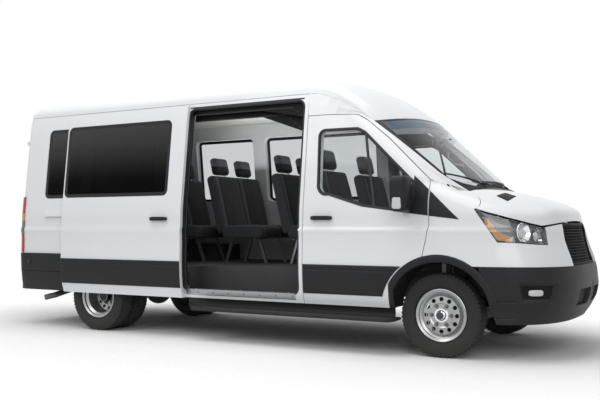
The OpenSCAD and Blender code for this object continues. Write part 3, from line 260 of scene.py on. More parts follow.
def outward(obj):
    """Turns a closed piece's faces to point outwards."""
    work = bmesh.new()
    work.from_mesh(obj.data)
    bmesh.ops.remove_doubles(work, verts=work.verts, dist=1e-6)
    bmesh.ops.recalc_face_normals(work, faces=work.faces)
    work.to_mesh(obj.data)
    work.free()
    obj.data.update()
    return obj


def prism(outline, low, high, axis=1):
    """A cutter: an outline of x and z (or of y and z) drawn out across the van between two places."""
    o = np.asarray(outline, float)
    n = len(o)
    ends = []
    for place in (low, high):
        ring = np.full((n, 3), float(place))
        ring[:, [k for k in range(3) if k != axis]] = o
        ends.append(ring)
    i = np.arange(n)
    k = (i + 1) % n
    walls = [list(f) for f in np.stack([i, k, k + n, i + n], -1)]
    faces = walls + [list(range(n))[::-1], list(range(n, 2 * n))]
    mesh = bpy.data.meshes.new("cutter")
    mesh.from_pydata(((np.concatenate(ends) + AXLE) * 0.001).tolist(), [], faces)
    mesh.polygons.foreach_set("material_index", np.full(len(faces), 2, np.int32))
    obj = bpy.data.objects.new("cutter", mesh)
    bpy.context.scene.collection.objects.link(obj)
    return outward(obj)


def beam(name, outline, low, high, mat, axis=1):
    """A straight piece of one section and one material, carried by the body."""
    obj = prism(outline, low, high, axis)
    obj.name = name
    obj.data.materials.append(mat)
    obj.data.polygons.foreach_set("material_index", np.zeros(len(obj.data.polygons), np.int32))
    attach(obj, "body")
    return obj


def cut(obj, cutter, operation="DIFFERENCE"):
    """Cuts a piece by a prism, and lets the cut faces take the piece's edge material."""
    for _ in range(len(obj.data.materials)):
        cutter.data.materials.append(obj.data.materials[len(cutter.data.materials)])
    mod = obj.modifiers.new("cut", "BOOLEAN")
    mod.object, mod.operation, mod.solver = cutter, operation, "EXACT"
    done = bpy.data.meshes.new_from_object(obj.evaluated_get(bpy.context.evaluated_depsgraph_get()))
    obj.modifiers.clear()
    obj.data = done
    bpy.data.objects.remove(cutter)
    return obj


def skin_shading(obj, offset=0.0):
    """Gives faces that lie on the body's skin the skin's own direction, so that highlights run smoothly."""
    mesh = obj.data
    mesh.shade_smooth()
    mesh.set_sharp_from_angle(angle=math.radians(30))
    co = np.empty(len(mesh.vertices) * 3)
    mesh.vertices.foreach_get("co", co)
    p = co.reshape(-1, 3) * 1000 - AXLE
    p[:, 1] -= np.sign(p[:, 1]) * offset
    normal = hull_normal(p)
    slope = np.linalg.norm(np.stack([hull(p + d) - hull(p - d) for d in np.eye(3)], -1), axis=1) / 2
    near = np.abs(hull(p)) / np.maximum(slope, 1e-9) < 0.8
    corners = np.empty(len(mesh.loops), np.int32)
    mesh.loops.foreach_get("vertex_index", corners)
    custom = np.empty(len(mesh.loops) * 3, np.float32)
    mesh.corner_normals.foreach_get("vector", custom)
    custom = custom.reshape(-1, 3)
    first = np.empty(len(mesh.polygons), np.int32)
    size = np.empty(len(mesh.polygons), np.int32)
    mesh.polygons.foreach_get("loop_start", first)
    mesh.polygons.foreach_get("loop_total", size)
    flat = np.empty(len(mesh.polygons) * 3, np.float32)
    mesh.polygons.foreach_get("normal", flat)
    flat = flat.reshape(-1, 3)
    owner = np.repeat(np.arange(len(size)), size)
    all_near = np.minimum.reduceat(near[corners].astype(int), first) > 0
    along = (flat[owner] * normal[corners]).sum(1) > 0.5
    use = all_near[owner] & along
    custom[use] = normal[corners][use]
    mesh.normals_split_custom_set(custom.tolist())
    return obj


# Materials
def group(name, inputs, outputs):
    """A new shader node group with named inputs (name, kind, value) and outputs (name, kind)."""
    tree = bpy.data.node_groups.new(name, "ShaderNodeTree")
    for label, kind, value in inputs:
        tree.interface.new_socket(label, in_out="INPUT",
                                  socket_type="NodeSocket" + kind).default_value = value
    for label, kind in outputs:
        tree.interface.new_socket(label, in_out="OUTPUT", socket_type="NodeSocket" + kind)
    return tree, tree.nodes.new("NodeGroupInput"), tree.nodes.new("NodeGroupOutput")


def math_node(tree, operation, a, b=None, c=None, clamp=False):
    """One arithmetic node; numbers are set on it and sockets are linked to it."""
    node = tree.nodes.new("ShaderNodeMath")
    node.operation, node.use_clamp = operation, clamp
    for k, v in enumerate((a, b, c)):
        if v is None:
            continue
        if isinstance(v, (int, float)):
            node.inputs[k].default_value = v
        else:
            tree.links.new(v, node.inputs[k])
    return node.outputs[0]


def noise_node(tree, vector, scale, detail=3.0, rough=0.55):
    """One noise texture on a vector."""
    node = tree.nodes.new("ShaderNodeTexNoise")
    node.inputs["Detail"].default_value = detail
    node.inputs["Roughness"].default_value = rough
    tree.links.new(vector, node.inputs["Vector"])
    if isinstance(scale, (int, float)):
        node.inputs["Scale"].default_value = scale
    else:
        tree.links.new(scale, node.inputs["Scale"])
    return node.outputs["Fac"]


def make_groups():
    """Shared effects: uneven colour, road dust that thins with height, fine grain and woven cloth."""
    out = {}
    tree, i, o = group("uneven", [("Scale", "Float", 3.0), ("Amount", "Float", 0.1)], [("Factor", "Float")])
    place = tree.nodes.new("ShaderNodeTexCoord").outputs["Object"]
    n = noise_node(tree, place, i.outputs["Scale"], 5.0)
    n = math_node(tree, "MULTIPLY", math_node(tree, "SUBTRACT", n, 0.5), i.outputs["Amount"])
    tree.links.new(math_node(tree, "ADD", n, 1.0), o.inputs[0])
    out["uneven"] = tree
    tree, i, o = group("road_dust", [("Top", "Float", 0.8), ("Amount", "Float", 0.3)], [("Mask", "Float")])
    place = tree.nodes.new("ShaderNodeTexCoord").outputs["Object"]
    split = tree.nodes.new("ShaderNodeSeparateXYZ")
    tree.links.new(place, split.inputs[0])
    high = math_node(tree, "DIVIDE", split.outputs["Z"], i.outputs["Top"])
    fall = math_node(tree, "POWER", math_node(tree, "SUBTRACT", 1.0, high, clamp=True), 1.6)
    n = noise_node(tree, place, 9.0, 6.0, 0.7)
    n = math_node(tree, "MULTIPLY", fall, math_node(tree, "ADD", n, 0.4))
    tree.links.new(math_node(tree, "MULTIPLY", n, i.outputs["Amount"], clamp=True), o.inputs[0])
    out["road_dust"] = tree
    tree, i, o = group("grain", [("Scale", "Float", 600.0)], [("Height", "Float")])
    place = tree.nodes.new("ShaderNodeTexCoord").outputs["Object"]
    tree.links.new(noise_node(tree, place, i.outputs["Scale"], 2.0), o.inputs[0])
    out["grain"] = tree
    tree, i, o = group("weave", [("Scale", "Float", 400.0)], [("Height", "Float"), ("Thread", "Float")])
    place = tree.nodes.new("ShaderNodeTexCoord").outputs["Object"]
    big = tree.nodes.new("ShaderNodeVectorMath")
    big.operation = "SCALE"
    tree.links.new(place, big.inputs[0])
    tree.links.new(i.outputs["Scale"], big.inputs["Scale"])
    split = tree.nodes.new("ShaderNodeSeparateXYZ")
    tree.links.new(big.outputs[0], split.inputs[0])
    a = math_node(tree, "SINE", math_node(tree, "ADD", split.outputs["X"], split.outputs["Z"]))
    b = math_node(tree, "SINE", math_node(tree, "ADD", split.outputs["Y"],
                                          math_node(tree, "MULTIPLY", split.outputs["Z"], 0.5)))
    h = math_node(tree, "MULTIPLY", math_node(tree, "MULTIPLY", a, b), 0.5)
    tree.links.new(math_node(tree, "ADD", h, 0.5), o.inputs[0])
    tree.links.new(noise_node(tree, place, 40.0, 4.0), o.inputs[1])
    out["weave"] = tree
    return out


groups = make_groups()
DUST = (0.36, 0.33, 0.29)


def finish(name, colour, rough=0.5, metal=0.0, coat=0.0, uneven=(3.0, 0.08), dust=None, grain=None,
           weave=None, see_through=0.0, ior=1.45, sheen=0.0, spec=0.5, painted_top_reflection=None):
    """A material: colour with slow unevenness, dust near the road, a bump from grain or weave, and a painted
    reflection rising with height.
    """
    mat = bpy.data.materials.new(name)
    mat.use_nodes = True
    tree = mat.node_tree
    bsdf = tree.nodes["Principled BSDF"]
    for label, value in (("Base Color", (*colour, 1)), ("Roughness", rough), ("Metallic", metal),
                         ("Coat Weight", coat), ("Coat Roughness", 0.04), ("IOR", ior),
                         ("Specular IOR Level", spec),
                         ("Transmission Weight", see_through), ("Sheen Weight", sheen)):
        bsdf.inputs[label].default_value = value

    def use(effect, **values):
        node = tree.nodes.new("ShaderNodeGroup")
        node.node_tree = groups[effect]
        for label, value in values.items():
            node.inputs[label].default_value = value
        return node

    def blend(factor, a, b, kind="MIX"):
        node = tree.nodes.new("ShaderNodeMix")
        node.data_type, node.blend_type = "RGBA", kind
        for k, v in ((0, factor), (6, a), (7, b)):
            if isinstance(v, (int, float)):
                node.inputs[k].default_value = v
            elif isinstance(v, tuple):
                node.inputs[k].default_value = (*v, 1)
            else:
                tree.links.new(v, node.inputs[k])
        return node.outputs[2]

    shade = None
    if uneven:
        factor = use("uneven", Scale=uneven[0], Amount=uneven[1]).outputs[0]
        shade = blend(1.0, tuple(colour), factor, "MULTIPLY")
    if weave:
        cloth = use("weave", Scale=weave[0])
        thread = math_node(tree, "MULTIPLY_ADD", cloth.outputs[0], weave[1], 1 - weave[1] * 0.5)
        shade = blend(1.0, shade or tuple(colour), thread, "MULTIPLY")
    if dust:
        mask = use("road_dust", Top=dust[0], Amount=dust[1]).outputs[0]
        shade = blend(mask, shade or tuple(colour), DUST)
    if shade is not None:
        tree.links.new(shade, bsdf.inputs["Base Color"])
    # Painted reflection: the coat's weight rises between two heights in metres, so the glass seems to reflect
    # more sky towards its top.
    if painted_top_reflection:
        coords = tree.nodes.new("ShaderNodeTexCoord")
        split = tree.nodes.new("ShaderNodeSeparateXYZ")
        tree.links.new(coords.outputs["Object"], split.inputs[0])
        rise = tree.nodes.new("ShaderNodeMapRange")
        rise.interpolation_type = "SMOOTHSTEP"
        for label, value in (("From Min", painted_top_reflection[0]), ("From Max", painted_top_reflection[1]), ("To Min", 0.0),
                             ("To Max", painted_top_reflection[2])):
            rise.inputs[label].default_value = value
        tree.links.new(split.outputs[2], rise.inputs["Value"])
        tree.links.new(rise.outputs[0], bsdf.inputs["Coat Weight"])
    if grain or weave:
        bump = tree.nodes.new("ShaderNodeBump")
        source = cloth if weave else use("grain", Scale=grain[0])
        bump.inputs["Strength"].default_value = weave[2] if weave else grain[1]
        bump.inputs["Distance"].default_value = 0.001
        tree.links.new(source.outputs[0], bump.inputs["Height"])
        tree.links.new(bump.outputs[0], bsdf.inputs["Normal"])
    return mat


paint = finish("white_paint", (0.78, 0.79, 0.81), 0.30, coat=0.35, uneven=(2.0, 0.03), dust=(0.75, 0.12),
               grain=(900.0, 0.012))
plastic = finish("black_plastic", (0.013, 0.0135, 0.015), 0.48, spec=0.25, uneven=(6.0, 0.25),
                 dust=(0.8, 0.08), grain=(1400.0, 0.22))
gloss_black = finish("gloss_black", (0.010, 0.010, 0.011), 0.25, spec=0.35, uneven=(6.0, 0.2))
flat_black = finish("flat_black", (0.008, 0.008, 0.009), 0.6, spec=0.15, uneven=(8.0, 0.2))
rubber = finish("seal_rubber", (0.016, 0.016, 0.017), 0.62, uneven=(8.0, 0.3), grain=(700.0, 0.15))
tyre_rubber = finish("tyre_rubber", (0.020, 0.020, 0.021), 0.72, spec=0.25, uneven=(12.0, 0.35),
                     dust=(0.8, 0.07), grain=(500.0, 0.3))
tinted = finish("tinted_glass", (0.60, 0.61, 0.62), 0.02, uneven=None, see_through=1.0, ior=1.2)
# Privacy glass with a painted reflection: more coat towards the top of the windows.
privacy = finish("privacy_glass", (0.030, 0.032, 0.035), 0.03, uneven=None, see_through=1.0, ior=1.12,
                 painted_top_reflection=(1.5, 2.15, 1.0))
clear = finish("clear_glass", (0.80, 0.83, 0.84), 0.01, uneven=None, see_through=1.0, ior=1.18)
band_blue = finish("sun_band", (0.34, 0.46, 0.58), 0.05, uneven=None, see_through=1.0, ior=1.25)
lens = finish("lamp_lens", (0.93, 0.94, 0.95), 0.02, uneven=None, see_through=1.0)
chrome = finish("reflector", (0.85, 0.86, 0.87), 0.08, metal=1.0, uneven=(20.0, 0.08))
amber = finish("amber_lens", (0.58, 0.27, 0.06), 0.15, coat=0.4, uneven=(30.0, 0.2))
red_lens = finish("red_lens", (0.42, 0.012, 0.012), 0.12, coat=0.6, uneven=(30.0, 0.25))
grey_lens = finish("grey_lens", (0.62, 0.62, 0.63), 0.14, coat=0.5, uneven=(30.0, 0.15))
silver = finish("wheel_silver", (0.38, 0.385, 0.39), 0.30, metal=0.85, uneven=(15.0, 0.12), dust=(0.7, 0.25),
                grain=(900.0, 0.05))
steel = finish("brushed_steel", (0.40, 0.405, 0.41), 0.34, metal=0.9, uneven=(25.0, 0.2), grain=(600.0, 0.1))
lining = finish("grey_lining", (0.66, 0.66, 0.65), 0.85, uneven=(4.0, 0.08), weave=(1500.0, 0.12, 0.15))
trim_grey = finish("pillar_trim", (0.42, 0.425, 0.43), 0.6, uneven=(6.0, 0.12), grain=(1200.0, 0.2))
dash_dark = finish("dash_plastic", (0.055, 0.056, 0.06), 0.58, uneven=(8.0, 0.2), grain=(1500.0, 0.3))
cloth_black = finish("seat_cloth", (0.012, 0.012, 0.014), 0.88, uneven=(10.0, 0.35),
                     weave=(1800.0, 0.45, 0.5), sheen=0.1)
cloth_grey = finish("bolster_cloth", (0.036, 0.037, 0.041), 0.9, uneven=(10.0, 0.2),
                    weave=(1800.0, 0.35, 0.5), sheen=0.12)
floor_black = finish("floor_rubber", (0.035, 0.035, 0.037), 0.7, uneven=(9.0, 0.3), grain=(350.0, 0.4))
under = finish("underbody", (0.045, 0.045, 0.047), 0.75, uneven=(7.0, 0.4), dust=(0.9, 0.35),
               grain=(200.0, 0.3))
iron = finish("cast_metal", (0.16, 0.16, 0.165), 0.55, metal=0.6, uneven=(14.0, 0.4), grain=(300.0, 0.4))
lamp_grey = finish("lamp_housing", (0.16, 0.16, 0.17), 0.32, metal=0.4, uneven=(20.0, 0.2))
mirror_glass = finish("mirror_glass", (0.75, 0.77, 0.78), 0.03, metal=1.0, uneven=(2.0, 0.02))
for mat, names in ((floor_black, "floor_pan side_step"),
                   (under, "chassis_rails front_axle rear_axle fuel_tank"),
                   (iron, "engine exhaust left_knuckle right_knuckle"),
                   (dash_dark, "dashboard steering_wheel"),
                   (silver, "front_left_rim front_right_rim rear_left_rims rear_right_rims"),
                   (paint, "door_tracks left_rear_door right_rear_door cab_frame"),
                   (plastic, "running_board cowl rear_bumper body_cladding sliding_door_trim left_door_trim"),
                   (plastic, "right_door_trim"), (privacy, "left_rear_door_glass right_rear_door_glass"),
                   (gloss_black, "grille headlamps"), (red_lens, "tail_lamps"),
                   (cloth_black, "front_seats benches")):
    for node_name in names.split():
        for k in range(len(nodes[node_name].data.materials)):
            nodes[node_name].data.materials[k] = mat

# Camera, light and floor
FOCAL, PICTURE_W = 826.7, 600
camera = bpy.data.objects.new("camera", bpy.data.cameras.new("camera"))
bpy.context.scene.collection.objects.link(camera)
camera.location = (4.3485, -7.433, 1.0874)
camera.rotation_euler = (math.radians(90), 0, math.radians(29.81))
camera.data.sensor_width = 36
camera.data.lens = 36 * FOCAL / PICTURE_W
camera.data.shift_y = 26.08 / PICTURE_W
camera.data.clip_end = 100
bpy.context.scene.camera = camera
bpy.context.scene.view_settings.view_transform = "Standard"

world = bpy.data.worlds.new("studio")
bpy.context.scene.world = world
world.use_nodes = True
tree = world.node_tree
back = tree.nodes["Background"]
path = tree.nodes.new("ShaderNodeLightPath")
seen = math_node(tree, "MAXIMUM", math_node(tree, "MAXIMUM", path.outputs["Is Camera Ray"],
                                            path.outputs["Is Glossy Ray"]),
                 path.outputs["Is Transmission Ray"])
tree.links.new(math_node(tree, "MULTIPLY_ADD", seen, 0.60, 0.40), back.inputs["Strength"])
back.inputs["Color"].default_value = (1, 1, 1, 1)


def lamp(name, place, aim, size, power):
    """A square soft lamp that points from a place to an aim."""
    data = bpy.data.lights.new(name, "AREA")
    data.shape, data.size, data.energy = "SQUARE", size, power
    obj = bpy.data.objects.new(name, data)
    bpy.context.scene.collection.objects.link(obj)
    obj.location = place
    obj.rotation_euler = Vector(np.subtract(aim, place)).to_track_quat("-Z", "Y").to_euler()
    return obj


lamp("top", (0, -2, 8), (0, 0, 0), 7, 340)
lamp("key", (6, -8, 5), (0, 0, 1), 5, 200)
lamp("side", (-3, -8, 6), (-1, 0, 1), 4, 150)
lamp("cabin", (-0.6, 0.1, 1.75), (-0.6, 0.1, 3), 1.4, 14)

ground = bpy.data.meshes.new("floor")
ground.from_pydata([(-12, -12, 0), (12, -12, 0), (12, 12, 0), (-12, 12, 0)], [], [(0, 1, 2, 3)])
ground_obj = bpy.data.objects.new("floor", ground)
bpy.context.scene.collection.objects.link(ground_obj)
floor_mat = finish("pale_floor", (0.93, 0.93, 0.93), 0.9, spec=0.0, uneven=(1.0, 0.01))
tree = floor_mat.node_tree
coords = tree.nodes.new("ShaderNodeTexCoord")
spread = tree.nodes.new("ShaderNodeVectorMath")
spread.operation = "MULTIPLY"
spread.inputs[1].default_value = (0.19, 0.32, 0)
tree.links.new(coords.outputs["Object"], spread.inputs[0])
far = tree.nodes.new("ShaderNodeVectorMath")
far.operation = "LENGTH"
tree.links.new(spread.outputs[0], far.inputs[0])
fade = tree.nodes.new("ShaderNodeMapRange")
fade.interpolation_type = "SMOOTHSTEP"
for label, value in (("From Min", 0.55), ("From Max", 1.0), ("To Min", 1.0), ("To Max", 0.0)):
    fade.inputs[label].default_value = value
tree.links.new(far.outputs["Value"], fade.inputs["Value"])
tree.links.new(fade.outputs[0], tree.nodes["Principled BSDF"].inputs["Alpha"])
ground.materials.append(floor_mat)

# White panels
WALL_T = 70.0
REAR_PILLAR_W = 143.0
DOOR_T = 90.0
SLIDER_T = 62.0
SLIDER_STAND = 24.0
SLIDER_INSIDE = SLIDER_STAND + 26.0
SLIDER_OUT = SLIDER_STAND + SLIDER_T


def arc(cx, cz, r, a, b, n):
    """Points on an arc in x and z, from angle a to angle b in degrees."""
    t = np.radians(np.linspace(a, b, n))
    return np.stack([cx + r * np.cos(t), cz + r * np.sin(t)], -1)


def rounded(x0, x1, z0, z1, r, n=9):
    """A rectangle with round corners, as points in x and z."""
    return np.concatenate([arc(x1 - r, z1 - r, r, 0, 90, n), arc(x0 + r, z1 - r, r, 90, 180, n),
                           arc(x0 + r, z0 + r, r, 180, 270, n), arc(x1 - r, z0 + r, r, 270, 360, n)])


def dense(outline, step):
    """An outline with more points along its straights, no further apart than a step."""
    o = np.asarray(outline, float)
    nxt = np.roll(o, -1, 0)
    count = np.maximum(1, np.ceil(np.linalg.norm(nxt - o, axis=1) / step).astype(int))
    return np.concatenate([a + (b - a) * (np.arange(k) / k)[:, None] for a, b, k in zip(o, nxt, count)])


def flank_grid(x, z, out):
    """The straight side between places x and heights z, moved out from the skin."""
    xx, zz = np.meshgrid(x, z, indexing="ij")
    return np.stack([xx, wall_y(zz) + out, zz], -1)


def corner_grid(angles, z, out):
    """The rear corner: the flank's line turned through angles about the corner's centre."""
    aa, zz = np.meshgrid(np.radians(angles), z, indexing="ij")
    return np.stack([CORNER_X - (CORNER_R + out) * np.sin(aa),
                     wall_y(zz) - CORNER_R + (CORNER_R + out) * np.cos(aa), zz], -1)


def wall_grid(z, out):
    """One whole side: the flat beside the rear door, the round corner and the straight flank."""
    zz = np.asarray(z)
    flat = np.stack([np.full_like(zz, REAR_X - out), wall_y(zz) - REAR_PILLAR_W, zz], -1)[None]
    return np.concatenate([flat, corner_grid(np.linspace(90, 0, 13), z, out)[:-1],
                           flank_grid(np.linspace(CORNER_X, PILLAR_X, 72), z, out)])


WINDOW_Z = (1385.0, 2135.0)
WINDOW_R = 60
WINDOWS = {1: [(-2850, -1400), (-3850, -3010), (-4560, -3990)], -1: [(-3850, -3010), (-4515, -3990)]}
DOORWAY = (-2620.0, -1310.0, 470.0, 2235.0)
side_z = np.unique(np.concatenate([np.linspace(SILL_Z, GUTTER_Z - 0.3, 58), FLANK[1:-1, 0]]))
for side, node_name in ((1, "left_side"), (-1, "right_side")):
    outer, inner = wall_grid(side_z, 0), wall_grid(side_z, -WALL_T)
    outer, inner = sided(side, outer, inner)
    panel = plate(node_name + "_panel", outer, inner, [paint, trim_grey, paint], "body", replaces=node_name,
                  slot="body_white")
    for x0, x1 in WINDOWS[side]:
        cut(panel, prism(rounded(x0, x1, *WINDOW_Z, WINDOW_R), *SPAN[side]))
    cut(panel, prism(arc(REAR_AXLE, WHEEL_Z, 440, 0, 360, 97)[:-1], *SPAN[side]))
    if side < 0:
        cut(panel, prism(rounded(*DOORWAY, 70, 13), *SPAN[side]))
    skin_shading(panel)


def roof_grid(deep):
    """Roof: its section drawn smoothly, straight to the pillar and then falling to the windscreen's top."""
    u = np.linspace(0, 6, 37)
    index = np.column_stack([np.arange(7.0), ROOF])
    share, drop = curve(index, u, 1), curve(index, u, 2)
    share, drop = np.concatenate([share, -share[-2::-1]]), np.concatenate([drop, drop[-2::-1]])
    y_rear, z_rear = wall_y(GUTTER_Z) * share, CROWN_Z - drop
    y_front = 838 * share
    z_front = 2080 - 68 * (y_front / 838) ** 2
    x_front = front_x(y_front, z_front)
    k = np.linspace(0, 1, 25)[:, None]
    cap = np.stack([PILLAR_X + (x_front - PILLAR_X) * k, y_rear + (y_front - y_rear) * k ** 2,
                    z_front + (z_rear - z_front) * (1 - k ** 1.8)], -1)
    round_l = 185
    x = np.concatenate([REAR_X + round_l * (1 - np.cos(np.linspace(0, np.pi / 2, 16)))[:-1],
                        np.linspace(REAR_X + round_l, PILLAR_X, 44)[:-1]])[:, None]
    tail = np.sqrt(1 - np.clip(1 - (x - REAR_X) / round_l, 0, 1) ** 2)
    pinch = CORNER_R - np.sqrt(CORNER_R ** 2 - np.clip(CORNER_R - (x - REAR_X), 0, CORNER_R) ** 2)
    back = np.stack([x + 0 * y_rear, y_rear * (1 - pinch / wall_y(GUTTER_Z)),
                     GUTTER_Z + (z_rear - GUTTER_Z) * tail], -1)
    rib = 3.0 * np.maximum(0, np.cos(y_rear / 150 * np.pi)) ** 8 * (np.abs(share) < 0.8)
    back[..., 2] += rib * np.clip(np.minimum(x - REAR_X - 250, PILLAR_X - 150 - x) / 120, 0, 1)
    whole = np.concatenate([back, cap])
    turn = np.radians(90) * (1 - np.abs(share) ** 3)
    down = np.stack([0 * turn, np.cos(turn) * np.sign(share), np.sin(turn)], -1)
    lean = np.concatenate([np.zeros(len(back) + 18), np.linspace(0, 1, 7)])[:, None, None]
    return whole - deep * (down * (1 - lean / 2) + lean * np.array([1.0, 0, 0]))


plate("roof_panel", roof_grid(0), roof_grid(45), [paint, lining, paint], "body", replaces="roof",
      slot="body_white")

HEADER_W, HEADER_Z = 806, 2237
header = [(-HEADER_W, HEADER_Z), (HEADER_W, HEADER_Z), (HEADER_W, GUTTER_Z), (-HEADER_W, GUTTER_Z)]
beam("rear_header_panel", header, REAR_X + 1, REAR_X + 62, paint, 0)

# Front doors
PILLAR_LINE = [(-101, 1472), (-487, 1838), (-700, 2012), (-790, 2066), (-1100, 2078), (-1263, 2078)]
ARCH_R = 505.0
door_outline = np.concatenate([[(-1263, SILL_Z), (-440, SILL_Z)],
                               arc(0, WHEEL_Z, ARCH_R, 180 - math.degrees(math.acos(440 / ARCH_R)),
                                   90 + math.degrees(math.asin(137 / ARCH_R)), 33),
                               [(-81, 1088), (-84, 1300)], PILLAR_LINE])
door_window = np.concatenate([arc(-1082, 1885, 60, 180, 90, 9), [(-770, 1945), (-700, 1908), (-225, 1459),
                                                                 (-225, 1275), (-381, 1222), (-687, 1263),
                                                                 (-900, 1328)],
                              arc(-1040, 1452, 90, 285, 190, 9)])


def door_grid(out):
    """Front door's skin between its rear edge and the wing, moved in by its thickness."""
    xx, zz = np.meshgrid(np.linspace(-1263, -70, 56), np.linspace(SILL_Z - 5, 2092, 84), indexing="ij")
    return np.stack([xx, side_y(xx, zz) + out, zz], -1)


for side, word in SIDES:
    outer, inner = door_grid(0), door_grid(-DOOR_T)
    outer, inner = sided(side, outer, inner)
    body = word + "_front_door"
    panel = plate(word + "_door_panel", outer, inner, [paint, dash_dark, paint], body,
                  replaces=word + "_door", slot="body_white")
    cut(panel, prism(door_outline, *SPAN[side]), "INTERSECT")
    cut(panel, prism(door_window, *SPAN[side]))
    skin_shading(panel)

# Sliding door, standing off the rear quarter
SLIDER = (-4150.0, -2575.0, SILL_Z, 2262.0)
SLIDER_WINDOW = (-4137.0, -2752.0)
slider_z = np.unique(np.concatenate([np.linspace(SILL_Z, 2262, 58), FLANK[1:-1, 0][FLANK[1:-1, 0] < 2262]]))
slider_x = np.linspace(SLIDER[0], SLIDER[1], 34)
panel = plate("sliding_door_panel", mirrored(flank_grid(slider_x, slider_z, SLIDER_OUT)),
              mirrored(flank_grid(slider_x, slider_z, SLIDER_INSIDE)), [paint, trim_grey, paint], "body",
              replaces="sliding_door", slot="body_white")
cut(panel, prism(rounded(*SLIDER_WINDOW, *WINDOW_Z, WINDOW_R), *SPAN[-1]))
skin_shading(panel, SLIDER_OUT)


# Nose panels: wings, hood, lamps and bumper, each a coarse net of places drawn finer on the skin
def grille_half(z):
    """Half the grille's width at a height."""
    return np.interp(z, [775, 1000, 1100], [468, 464, 425])


def station(at, z):
    """A place on the nose: an x along the side, a y across the front, or a height along the door's edge."""
    kind, value = at
    if kind == "edge":
        value = np.interp(z, [836, 1088, 1300, 1472], [-137, -81, -84, -101]) + GAP
    if kind == "grille":
        value = grille_half(z) + value
    if kind in ("x", "edge"):
        return [value, float(side_y(value, z)), z]
    return [float(front_x(value, z)), value, z]


def patch(table, rows):
    """A net from a table of place, lowest height and highest height."""
    return np.array([[station(at, low + (high - low) * j / rows) for j in range(rows + 1)] for at, low,
                     high in table])


def ramp(a, b, v):
    """Nought up to a, one from b on, straight between."""
    return np.clip((v - a) / (b - a), 0, 1)


def tucked(grid):
    """A nose panel's inner face: in from the side, back from the front."""
    g = np.array(grid, float)
    y = np.abs(g[..., 1])
    g[..., 1] -= 30 * ramp(440, 700, y) * np.sign(g[..., 1])
    g[..., 0] -= 22 * ramp(300, 420, np.array(grid)[..., 0])
    return g


def arch_z(x):
    """Height of the front wheel arch at a place."""
    return WHEEL_Z + math.sqrt(ARCH_R ** 2 - x * x)


LOW = 763.3
wing = [(("edge", 0), 838, 1470), (("x", -60), arch_z(-60), 1457), (("x", -15), arch_z(-15), 1443),
        (("x", 30), arch_z(30), 1422), (("x", 90), arch_z(90), 1388), (("x", 150), arch_z(150), 1362),
        (("x", 220), arch_z(220), 1296), (("x", 290), arch_z(290), 1222), (("x", 385), LOW, 1092),
        (("x", 478), LOW, 957), (("y", 900), LOW, 950), (("y", 800), LOW, 938), (("y", 716), LOW, 934),
        (("y", 690), LOW, 1076), (("y", 600), LOW, 1089), (("y", 500), LOW, 1099),
        (("grille", 14), LOW, 1104)]
grid = refined(patch(wing, 5), 5, 5)
t = np.linspace(0, 1, 13)
crest = np.array([(290, 1222), (220, 1296), (150, 1362), (110, 1380)], float)
crest_x, crest_z = (np.interp(t, np.linspace(0, 1, 4), crest[:, k]) for k in (0, 1))
crest = np.stack([crest_x, side_y(crest_x, crest_z), crest_z], -1)
side_low = float(side_y(300, 1232))
hood_y, hood_z = side_low + (800 - side_low) * t, 1232 + 146 * t
hood_side = np.stack([front_x(hood_y, hood_z), hood_y, hood_z], -1)
away = crest - hood_side
hood_side += away * (GAP / np.linalg.norm(away, axis=1, keepdims=True))
w = np.linspace(0, 1, 6)[None, :, None]
shoulder = refined(crest[:, None] * (1 - w) + hood_side[:, None] * w, 3, 3)
parts = []
for g in (grid, shoulder, mirrored(grid), mirrored(shoulder)):
    parts.append(plate("wing", g, tucked(g), [paint, under, paint], "body"))
wings = merged("wing_panels", parts)
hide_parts("front_wings")
skin_shading(wings)

HOOD_LOW = [(("x", 300), 1232), (("x", 385), 1203), (("x", 478), 1178), (("y", 900), 1154),
            (("y", 800), 1112),
            (("y", 716), 1090), (("y", 600), 1103), (("y", 480), 1114), (("y", 330), 1124),
            (("y", 160), 1130), (("y", 0), 1132)]
HOOD_REAR = [(800, 1378), (785, 1381), (760, 1385), (720, 1389), (640, 1394), (540, 1399), (440, 1402),
             (330, 1405), (220, 1407), (110, 1408), (0, 1408)]
HOOD_RISE = 44.0


def hood_net():
    """Hood's net: from the low edge round the nose straight to the rear edge at the cowl."""
    half = []
    for (at, z), (y_rear, z_rear) in zip(HOOD_LOW, HOOD_REAR):
        y_low = station(at, z)[1]
        k = np.linspace(0, 1, 7)
        y, h = y_low + (y_rear - y_low) * k, z + (z_rear - z) * k
        half.append(np.stack([front_x(y, h), y, h], -1))
    half = np.array(half)
    return np.concatenate([half, mirrored(half)[1:]])


def hood_rise(p):
    """Height of the hood's raised middle over the skin: full along the crest, none at its edges."""
    y, z = np.abs(p[..., 1]), p[..., 2]
    low = np.interp(y, [0, 160, 330, 480, 600, 716, 800, 900],
                    [1132, 1130, 1124, 1114, 1103, 1090, 1112, 1154])
    rear = np.interp(y, [0, 330, 540, 640, 720, 800], [1408, 1405, 1399, 1394, 1389, 1378])
    side = ramp(430, 750, y)
    across = 1 - side * side * (3 - 2 * side)
    lift = HOOD_RISE * np.sin(np.pi * np.clip((z - low) / (rear - low), 0, 1) ** 0.7) * across
    return np.stack([0 * lift, 0 * lift, lift], -1)


grid = refined(hood_net(), 4, 6)
grid = grid + hood_rise(grid)
k = np.linspace(0, 1, grid.shape[1])[None, :, None]
plate("hood_panel", grid, tucked(grid) * (1 - k) + (grid - [0, 0, 25]) * k, [paint, under, paint], "hood",
      replaces="hood", slot="body_white")


def screen_point(s, k):
    """Windscreen: a share across and a share up, on the skin between its lower and upper edges."""
    low, high = 1440 - 60 * s ** 2, 2080 - 68 * s ** 2
    y, z = s * (815 + 23 * k), low + (high - low) * k
    return np.stack([front_x(y, z), y, z], -1)


